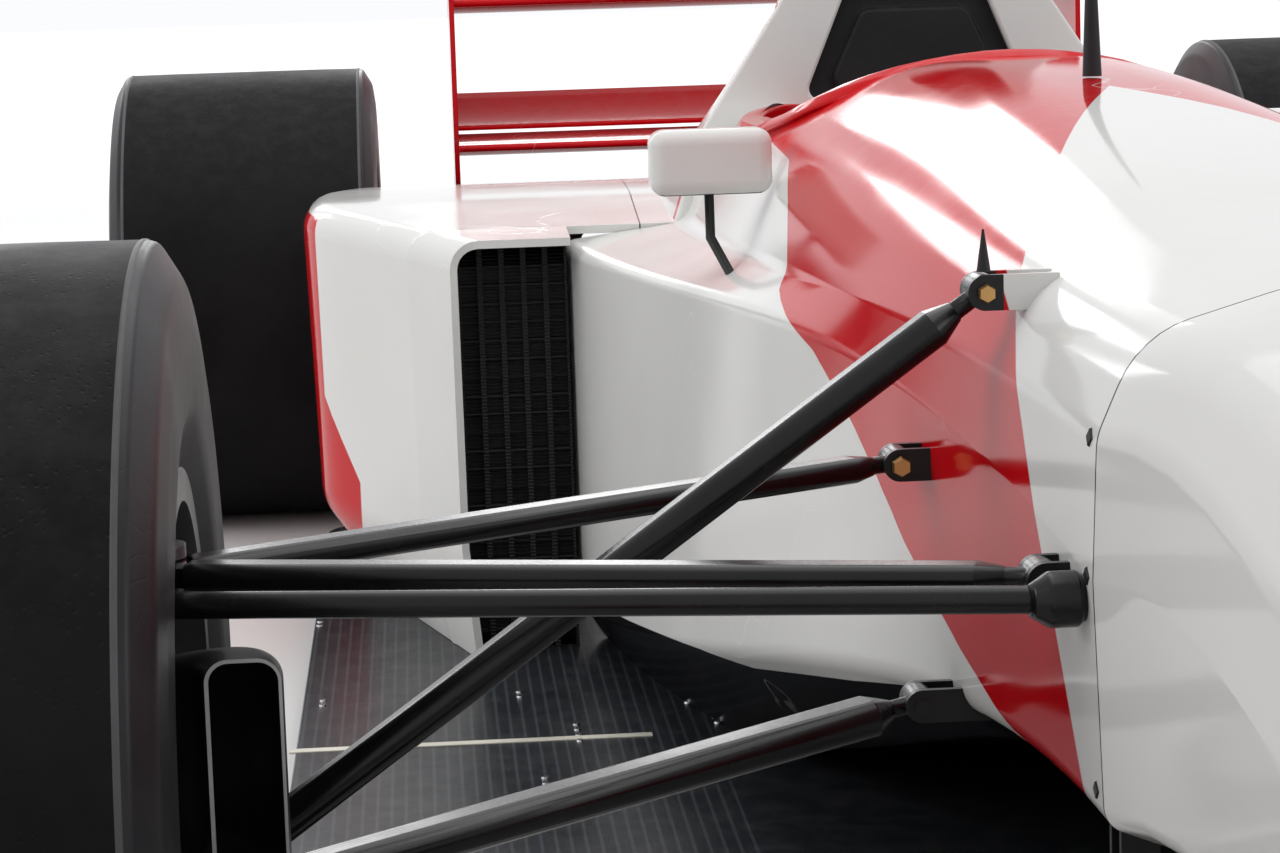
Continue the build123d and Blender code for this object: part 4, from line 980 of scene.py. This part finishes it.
cuts = [(cover_inside(), BODY_CARBON), (recess(HEADREST), COVER_PAINT), (recess(MOUTH), COVER_PAINT)]
cover_mesh = carved(body_skin(COVER), COVER_PAINT, cuts)
cover = finish_piece("engine_cover_skin", cover_mesh, "chassis", [], ["engine_cover"],
                     weighted=False)
eased(cover, ROLLED_EDGE, 3, 60)
keep_flat(cover)
print("engine cover:", len(cover_mesh.polygons), "faces")

# %% [markdown]
# A side pod starts at a tall mouth beside the tub, swells to the full width of the car and tapers in
# before the rear wheel. Its skin is one open strip: up from the sill, round the side and over the
# top. The strip is given a wall afterwards, with dark laminate on the inside and a rolled edge that
# shows as a pale line round the mouth.

# %% Side pods
# A row is (station, half width, height, tuck of the foot, half width of the root).
POD_FRONT, POD_CORNER, POD_REAR = 1550, 1940, 2760
POD = [
    (POD_FRONT, 528, 506, 6, 391),
    (POD_CORNER - 50, 690, 524, 38, 290),
    (POD_CORNER, 700, 527, 40, 285),
    (POD_CORNER + 200, 700, 526, 40, 250),
    (POD_CORNER + 350, 662, 521, 40, 225),
    (POD_CORNER + 460, 596, 512, 40, 195),
    (POD_REAR - 240, 506, 498, 40, 160),
    (POD_REAR - 120, 414, 474, 36, 140),
    (POD_REAR, 334, 430, 30, 120),
]
POD_EDGE_R, POD_WALL, POD_STEP, POD_EASING = 32, 9, 24, 3
ROOT_BESIDE, ROOT_BEHIND = 396, 200


def pod_rows():
    """The pod's table with rows between the drawn ones, its corner eased along the car."""
    rows = []
    for first, second in zip(POD, POD[1:]):
        count = max(1, round((second[0] - first[0]) / POD_STEP))
        rows += [tuple(a + (b - a) * k / count for a, b in zip(first, second)) for k in range(count)]
    rows.append(POD[-1])
    for _ in range(POD_EASING):
        middle = [(b[0], *((a[k] + 2 * b[k] + c[k]) / 4 for k in range(1, 5)))
                  for a, b, c in zip(rows, rows[1:], rows[2:])]
        rows = [rows[0]] + middle + [rows[-1]]
    return rows


def pod_strip(side):
    """Open skin of one pod, from the sill over the top to its root. The root runs further in behind
    the tub, so two rows lie close together where the tub ends."""
    rings = []
    rows = pod_rows()
    behind = [row for row in rows if row[0] > TUB_REAR + 4]
    beside = [row for row in rows if row[0] < TUB_REAR - 4]
    joint = [(TUB_REAR + gap, *behind[0][1:]) for gap in (1, 2.5)]
    for station, half, high, tuck, root in beside + joint + behind:
        root = ROOT_BESIDE if station < TUB_REAR + 2 else min(root, ROOT_BEHIND)
        corners = [(half - 2.2 * tuck, FLOOR_TOP + 0.5, 0), (half - tuck, 124, 30),
                   (half - 0.25 * tuck, 165, 60), (half, high, POD_EDGE_R), (root, high, 0)]
        rings.append([at(side * p.x, station, p.y) for p in rounded(corners, False)])
    return lofted(rings, closed=False, capped=False)


for side, label in ((1, "left"), (-1, "right")):
    strip = pod_strip(side)
    outwards = sum((f.normal.x * side for f in strip.faces), 0.0)
    if outwards < 0:
        bmesh.ops.reverse_faces(strip, faces=strip.faces)
    pod = finish_piece(f"side_pod_skin_{label}", to_mesh(strip, "pod"), "chassis", [POD_PAINT, DUCT_BLACK],
                       [f"side_pod_{label}"], weighted=False)
    wall = pod.modifiers.new("wall", "SOLIDIFY")
    wall.thickness, wall.offset, wall.use_even_offset = POD_WALL * MM, -1, True
    wall.material_offset, wall.material_offset_rim = 1, 0
    eased(pod, ROLLED_EDGE, 3, 55)
    keep_flat(pod)
    print("side pod", label, len(pod.data.polygons), "faces")

# %% [markdown]
# ## Wheels
# A tyre is a profile turned round its axle. The slick has a flat tread, round shoulders and a straight
# wall that tucks in to the rim. Two hair-thin ridges near the shoulders are what the mould's halves
# leave behind. The profile is spun with enough steps that the outline stays round in a close view.

# %% Turning on a lathe
SPIN_STEPS = 144


def turned(outline, centre):
    """Spin a closed outline of (x, radius) points round an axle that lies across the car."""
    bm = bmesh.new()
    verts = [bm.verts.new(centre + Vector((x * MM, 0, r * MM))) for x, r in outline]
    edges = [bm.edges.new(pair) for pair in neighbours(verts)]
    bmesh.ops.spin(bm, geom=verts + edges, cent=centre, axis=(1, 0, 0), dvec=(0, 0, 0), angle=2 * math.pi,
                   steps=SPIN_STEPS, use_merge=True)
    bmesh.ops.remove_doubles(bm, verts=bm.verts, dist=WELD)
    bmesh.ops.recalc_face_normals(bm, faces=bm.faces)
    return bm


def node_centre(node):
    """Middle of a solid's box."""
    low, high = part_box(node)
    return (low + high) / 2


# %% Tyres
# A wheel is (end, width, radius). The mould's ridge lies a little inside the shoulder.
WHEELS = [("front", 292, 320), ("rear", 381, 330)]
BEAD_R, FLANGE_R, RIM_INSET, RIM_WALL = 165, 181, 9, 5
RIDGE_IN, WALL_DEEP = 22, 40


def tyre_outline(width, radius):
    """Outline of a slick, from one bead over the tread to the other."""
    half = width / 2
    bead = half - RIM_INSET - RIM_WALL - 0.3
    line = half - RIDGE_IN
    wall = [(bead, BEAD_R + 0.5, 0), (bead, FLANGE_R + 4, 4), (half - 1, FLANGE_R + 34, 40),
            (half - 0.5, radius - 52, 70), (half - 4, radius - 24, 26)]
    ridge = [(line + 5, radius - 2.2, 16), (line, radius - 0.9, 0.1), (line - 1, radius, 0.4),
             (line - 3, radius, 0.4), (line - 4, radius - 0.6, 0.1)]
    side = wall + ridge + [(line - 60, radius - 0.1, 60)]
    whole = side + [(-x, r, c) for x, r, c in reversed(side)]
    return [(p.x, p.y) for p in rounded(whole, True)]


def make_tyre(node, body, width, radius):
    """Slick tyre: rubber tread, walls and the two mould lines, as three materials of one piece."""
    centre = node_centre(node)
    bm = turned(tyre_outline(width, radius), centre)
    line = (width / 2 - RIDGE_IN) * MM
    for face in bm.faces:
        middle = face.calc_center_median() - centre
        across, away = abs(middle.x), math.hypot(middle.y, middle.z)
        if line - 0.0036 < across < line - 0.0004 and away > (radius - 2) * MM:
            face.material_index = 2
        elif across > line or away < (radius - WALL_DEEP) * MM:
            face.material_index = 1
    finish_piece(node + "_slick", to_mesh(bm, node), body, [TREAD, WALL, MOULD_LINE], [node],
                 sharp=50, weighted=False)


for end, width, radius in WHEELS:
    for label in ("left", "right"):
        make_tyre(f"{end}_tyre_{label}", f"wheel_{end}_{label}", width, radius)
print("tyres:", [f"{end} {width} x {2 * radius} mm" for end, width, radius in WHEELS])

# %% [markdown]
# The rims, hubs and the other solids already have their true form, so they are dressed rather than
# modelled again: welded, eased and given a finish. A short table says which finish and how wide an
# eased edge each of them gets, and lists a slot that nothing reads. The frame's own record says which body
# carries it.

# %% Pieces dressed from the frame
# A row is (solid, material, slot, width of the eased edges in metres).
BODY_OF = {name: body for body, names in frame["record"]["behaviour"]["bodies"].items() for name in names}
DRESS = [
    ("floor", FLOOR_CARBON, "carbon", 0.0015),
    ("diffuser", BODY_CARBON, "carbon", 0.001),
    ("front_wing", NOSE_PAINT, "wing_paint", 0.0),
    ("front_flaps", NOSE_PAINT, "wing_paint", 0.0),
    ("front_endplates", PLATE_RED, "red_paint", 0.001),
    ("rear_wing_upper", RED_PAINT, "red_paint", 0.0),
    ("rear_wing_lower", RED_PAINT, "red_paint", 0.0),
    ("headrest", PAD_BLACK, "trim_black", 0.004),
    ("seat", PAD_BLACK, "trim_black", 0.004),
    ("antenna", TRIM_BLACK, "trim_black", 0.0),
    ("mirrors", MIRROR_PAINT, "body_paint", 0.0),
    ("radiators", FIN_BLACK, "radiator_black", 0.0),
    ("engine_block", CAST_METAL, "cast_metal", 0.004),
    ("gearbox", CAST_METAL, "cast_metal", 0.002),
    ("rear_crash_structure", BODY_CARBON, "carbon", 0.001),
    ("rain_light", LAMP_RED, "lamp_red", 0.002),
    ("tailpipes", EXHAUST, "exhaust_steel", 0.0),
    ("front_brackets", FITTING, "trim_black", 0.0006),
    ("rear_brackets", FITTING, "trim_black", 0.0006),
    ("front_pushrods", TUBE_BLACK, "tube_black", 0.0),
    ("rear_links", TUBE_BLACK, "tube_black", 0.0),
    ("rear_uprights", UPRIGHT, "upright_metal", 0.0015),
    ("rear_calipers", CALIPER, "caliper_grey", 0.002),
    ("steering_rack", TUBE_BLACK, "tube_black", 0.0),
    ("steering_wheel", PAD_BLACK, "trim_black", 0.001),
    ("steering_column", STEEL, "machined_steel", 0.0),
]
for label in ("left", "right"):
    DRESS += [(f"rear_endplate_{label}", PLATE_RED, "red_paint", 0.001),
              (f"front_upper_wishbone_{label}", TUBE_BLACK, "tube_black", 0.0),
              (f"front_lower_wishbone_{label}", TUBE_BLACK, "tube_black", 0.0),
              (f"rear_wishbones_{label}", TUBE_BLACK, "tube_black", 0.0),
              (f"driveshaft_{label}", STEEL, "machined_steel", 0.0),
              (f"front_brake_duct_{label}", DUCT_BLACK, "carbon", 0.0),
              (f"front_upright_{label}", UPRIGHT, "upright_metal", 0.0015),
              (f"front_caliper_{label}", CALIPER, "caliper_grey", 0.002)]
    for end in ("front", "rear"):
        DRESS += [(f"{end}_rim_{label}", RIM_PAINT, "rim_metal", 0.0),
                  (f"{end}_hub_{label}", STEEL, "machined_steel", 0.0)]
for node, material, slot, ease in DRESS:
    dressed(node, material, BODY_OF[node], ease)
print("dressed from the frame:", len(DRESS))

# %% [markdown]
# The clevis at the pushrod's top stands on a foot that is painted with the tub. A plane splits its
# long faces where the paint ends, and the faces on the inner side of it take the tub's lacquer.

# %% Painted feet of the upper clevises
FOOT_EDGE, FOOT_Z = 203, 560
brackets = bpy.data.objects["front_brackets_dressed"]
brackets.data.materials.append(TUB_PAINT)
split = bmesh.new()
split.from_mesh(brackets.data)
for side in (1, -1):
    bmesh.ops.bisect_plane(split, geom=all_of(split), plane_co=at(side * FOOT_EDGE, 0, 0),
                           plane_no=(1, 0, 0))
for face in split.faces:
    middle = face.calc_center_median()
    if middle.z > FOOT_Z * MM and abs(middle.x) < FOOT_EDGE * MM:
        face.material_index = 1
split.to_mesh(brackets.data)
split.free()
print("painted faces of the brackets:", sum(face.material_index for face in brackets.data.polygons))

# %% [markdown]
# A brake duct's front lip gets a painted highlight: the faces at its very front that look forward
# are pale grey.

# %% Painted highlight on the duct lips
# Painted highlight: a pale grey finish for the forward faces at the front of each duct.
DUCT_LIP_HIGHLIGHT = satin("duct_lip_highlight", (0.30, 0.30, 0.30, 1), 0.18, 0.30, 500.0, 0.08, dust=0.05)
DUCT_HIGHLIGHT_DEEP = 4
for label in ("left", "right"):
    duct = bpy.data.objects[f"front_brake_duct_{label}_dressed"]
    duct.data.materials.append(DUCT_LIP_HIGHLIGHT)
    front = min(vert.co.y for vert in duct.data.vertices)
    for face in duct.data.polygons:
        if face.normal.y < -0.8 and face.center.y < front + DUCT_HIGHLIGHT_DEEP * MM:
            face.material_index = 1
    print("pale faces of the duct:", label, sum(face.material_index for face in duct.data.polygons))

# %% [markdown]
# A hub is one solid with its axle, nut and brake disc. The disc is carbon, which is dull and black.
# Its faces are those whose corners all lie far from the axle, next to the wheel's middle.

# %% Carbon discs
DISC_INNER_R, DISC_REACH = 83, 33
for end in ("front", "rear"):
    for label in ("left", "right"):
        hub_mesh = bpy.data.objects[f"{end}_hub_{label}_dressed"].data
        hub_mesh.materials.append(DISC)
        centre = node_centre(f"{end}_tyre_{label}")
        for face in hub_mesh.polygons:
            corners = [hub_mesh.vertices[index].co - centre for index in face.vertices]
            outer = all(math.hypot(c.y, c.z) > DISC_INNER_R * MM for c in corners)
            if outer and all(abs(c.x) < DISC_REACH * MM for c in corners):
                face.material_index = 1
        print("disc faces:", end, label, sum(face.material_index for face in hub_mesh.polygons))

# %% [markdown]
# The mirrors are one solid each, housing and stalk together. What lies below the housing is stalk and
# gets black paint. The glass is a thin plate on the housing's rear face.

# %% Mirror stalks and glass
MIRROR_X, MIRROR_STATION, MIRROR_Z = 286, 1060, 612
MIRROR_WIDE, MIRROR_DEEP, MIRROR_HIGH = 114, 52, 61
GLASS_MARGIN, GLASS_THICK, GLASS_PROUD = 7, 3, 0.6
mirrors = bpy.data.objects["mirrors_dressed"]
mirrors.data.materials.append(TRIM_BLACK)
for face in mirrors.data.polygons:
    if face.center.z < (MIRROR_Z - MIRROR_HIGH / 2 + 1.5) * MM:
        face.material_index = 1


def slab(bm, low, high, ease=0.5):
    """Block between two corners of (x, station, z), with eased edges."""
    a, b = at(*low), at(*high)
    made = bmesh.ops.create_cube(bm, size=1.0)["verts"]
    bmesh.ops.scale(bm, verts=made, vec=b - a)
    bmesh.ops.translate(bm, verts=made, vec=(a + b) / 2)
    edges = list({edge for vert in made for edge in vert.link_edges})
    bmesh.ops.bevel(bm, geom=edges, offset=ease * MM, offset_type="OFFSET", segments=2, profile=0.5,
                    affect="EDGES", material=-1)


glass = bmesh.new()
half_wide, half_high = MIRROR_WIDE / 2 - GLASS_MARGIN, MIRROR_HIGH / 2 - GLASS_MARGIN
back = MIRROR_STATION + MIRROR_DEEP / 2
for side in (1, -1):
    inner, outer = sorted((side * (MIRROR_X - half_wide), side * (MIRROR_X + half_wide)))
    slab(glass, (inner, back - GLASS_THICK, MIRROR_Z - half_high),
         (outer, back + GLASS_PROUD, MIRROR_Z + half_high))
finish_piece("mirror_glass", to_mesh(glass, "mirror_glass"), "chassis", [GLASS])
print("mirror glass:", 2 * half_wide, "x", 2 * half_high, "mm")

# %% [markdown]
# ## Fasteners
# A bolt head is a short cone with six sides, a rivet one with sixteen. Each row of a table says where
# it sits, which way it points and how large it is. Those on the tub find their place by a ray that is
# sent at the skin from the side. The pins are the same cone again, drawn out to a point.

# %% Bolt heads, rivets and strips
HEAD_SUNK = 0.4


def put_head(bm, foot, direction, radius, height, sides, taper=0.86):
    """One head that stands on a surface, sunk in a little."""
    made = bmesh.ops.create_cone(bm, cap_ends=True, segments=sides, radius1=radius * MM,
                                 radius2=radius * taper * MM, depth=height * MM)["verts"]
    turn_to = direction.to_track_quat("Z", "Y").to_matrix().to_4x4()
    middle = foot + direction * (height / 2 - HEAD_SUNK) * MM
    bmesh.ops.transform(bm, verts=made, matrix=Matrix.Translation(middle) @ turn_to)


def fasteners(name, material, rows, weighted=False):
    """A piece of many heads, on both sides of the car. A row is (point, direction, radius, height,
    sides) and, where a head isn't the usual cone, its taper."""
    bm = bmesh.new()
    for point, direction, *form in rows:
        for side in (1, -1):
            outwards = Vector((side * direction[0], *direction[1:])).normalized()
            put_head(bm, at(side * point[0], *point[1:]), outwards, *form)
    finish_piece(name, to_mesh(bm, name), "chassis", [material], weighted=weighted)


def on_tub(station, z):
    """Point and direction of the tub's left side at a place in side view."""
    place, normal = tub_surface.ray_cast(at(900, station, z), Vector((-1, 0, 0)))[:2]
    return (place.x / MM, station, z), tuple(normal)


FORWARD, UP = (0, -1, 0), (0, 0, 1)
BOLTS = [((213, -166, 441), FORWARD, 6, 3, 6), ((242, 186, 455), FORWARD, 7, 6, 6),
         ((214, 6, 588), FORWARD, 6, 5, 6)]
PINS = [((214, 16, 601), UP, 4.5, 26, 16, 0.15)]
SEAM_PLACES = [(-201, 528), (-203, 451), (-201, 329)]
FLOOR_PLACES = [(694, 1770), (679, 1350), (474, 1349), (422, 1190),
                (422, 1143), (462, 981), (304, 1286), (282, 1192)]
RIVET_GAP = 22
fasteners("clevis_bolts", BRASS, BOLTS)
fasteners("pushrod_pins", TRIM_BLACK, PINS, weighted=True)
fasteners("seam_screws", TRIM_BLACK,
          [(*on_tub(*spot), 5.5, 1.6, 4) for spot in SEAM_PLACES])
fasteners("floor_rivets", STEEL,
          [((x, station + gap, FLOOR_TOP), UP, 4, 2.2, 16) for x, station in FLOOR_PLACES
           for gap in (0, RIVET_GAP)])

STRIP_INNER, STRIP_OUTER, STRIP_STATION, STRIP_WIDE = 350, 706, 1148, 14
strips = bmesh.new()
for side in (1, -1):
    inner, outer = sorted((side * STRIP_INNER, side * STRIP_OUTER))
    slab(strips, (inner, STRIP_STATION, FLOOR_TOP - 1),
         (outer, STRIP_STATION + STRIP_WIDE, FLOOR_TOP + 1.2))
finish_piece("floor_joint_strips", to_mesh(strips, "floor_joint_strips"), "chassis", [JOINT_BEIGE])
print("fasteners and strips are on")

# %% [markdown]
# ## The room
# A plain pale floor that fades into a white sky, a soft lamp overhead, one at each side and three
# behind the car, like the panes of a window. The sky is white to the camera and to reflections, but
# lights the car at a plain level, so that colours come out about as they are written. The panes show
# as bright patches on the crowned paint, with the colour of the paint between them.

# %% Floor, sky and lamps
FLOOR_HALF, FLOOR_FADE = 60.0, (4.0, 11.0)
FLOOR_TONES = (0.74, 0.735, 0.72, 1), (0.78, 0.775, 0.76, 1)
SKY, SKY_LIGHT = (0.97, 0.975, 1.0, 1), 0.55


def seen(tree):
    """1 for what the camera sees, also in a mirror or through glass, and 0 for light on the car."""
    path = add(tree, "ShaderNodeLightPath").outputs
    bounced = maths(tree, "MAXIMUM", path["Is Glossy Ray"], path["Is Transmission Ray"])
    return maths(tree, "MAXIMUM", path["Is Camera Ray"], bounced)


ground_bm = bmesh.new()
bmesh.ops.create_grid(ground_bm, x_segments=2, y_segments=2, size=FLOOR_HALF)
ground = bpy.data.objects.new("studio_floor", to_mesh(ground_bm, "studio_floor"))
scene.collection.objects.link(ground)
material, tree, shader, place = start_finish("studio_floor", Roughness=0.55, Emission_Color=SKY)
tone = blend_colours(tree, ramp(tree, noise(tree, place, 2.0, 4.0), 0.3, 0.7), *FLOOR_TONES)
away = add(tree, "ShaderNodeVectorMath", {0: place}, operation="LENGTH").outputs["Value"]
far = maths(tree, "MULTIPLY", ramp(tree, away, *FLOOR_FADE), seen(tree))
feed(tree, shader, Base_Color=blend_colours(tree, far, tone, (0, 0, 0, 1)), Emission_Strength=far)
ground.data.materials.append(material)

world = bpy.data.worlds.new("studio")
scene.world = world
world.use_nodes = True
sky = world.node_tree
backdrop = sky.nodes["Background"]
backdrop.inputs[0].default_value = SKY
sky.links.new(ramp(sky, seen(sky), 0.0, 1.0, SKY_LIGHT, 1.0), backdrop.inputs[1])

# A lamp is (name, place, what it points at, width, length, watts).
LAMPS = [
    ("overhead", (0.0, 0.6, 4.2), (0.0, 0.6, 0.0), 3.0, 5.5, 90.0),
    ("pane_left", (-4.0, 7.6, 3.1), (0.0, 0.2, 0.6), 1.3, 1.7, 38.0),
    ("pane_middle", (-2.0, 8.2, 3.1), (0.0, 0.2, 0.6), 1.3, 1.7, 38.0),
    ("pane_right", (0.0, 8.5, 3.1), (0.0, 0.2, 0.6), 1.3, 1.7, 38.0),
    ("side", (-4.8, -0.6, 2.6), (0.0, 0.8, 0.4), 3.2, 2.0, 60.0),
    ("fill", (4.2, -3.6, 2.4), (0.0, 0.0, 0.4), 2.5, 2.5, 45.0),
]
for name, place, target, wide, long, watts in LAMPS:
    lamp_data = bpy.data.lights.new(name, "AREA")
    lamp_data.shape, lamp_data.size, lamp_data.size_y, lamp_data.energy = "RECTANGLE", wide, long, watts
    lamp = bpy.data.objects.new(name, lamp_data)
    lamp.location = place
    lamp.rotation_euler = (Vector(target) - Vector(place)).to_track_quat("-Z", "Y").to_euler()
    lamp.visible_camera = False
    scene.collection.objects.link(lamp)
scene.view_settings.view_transform = "Standard"
print("lamps:", [row[0] for row in LAMPS])
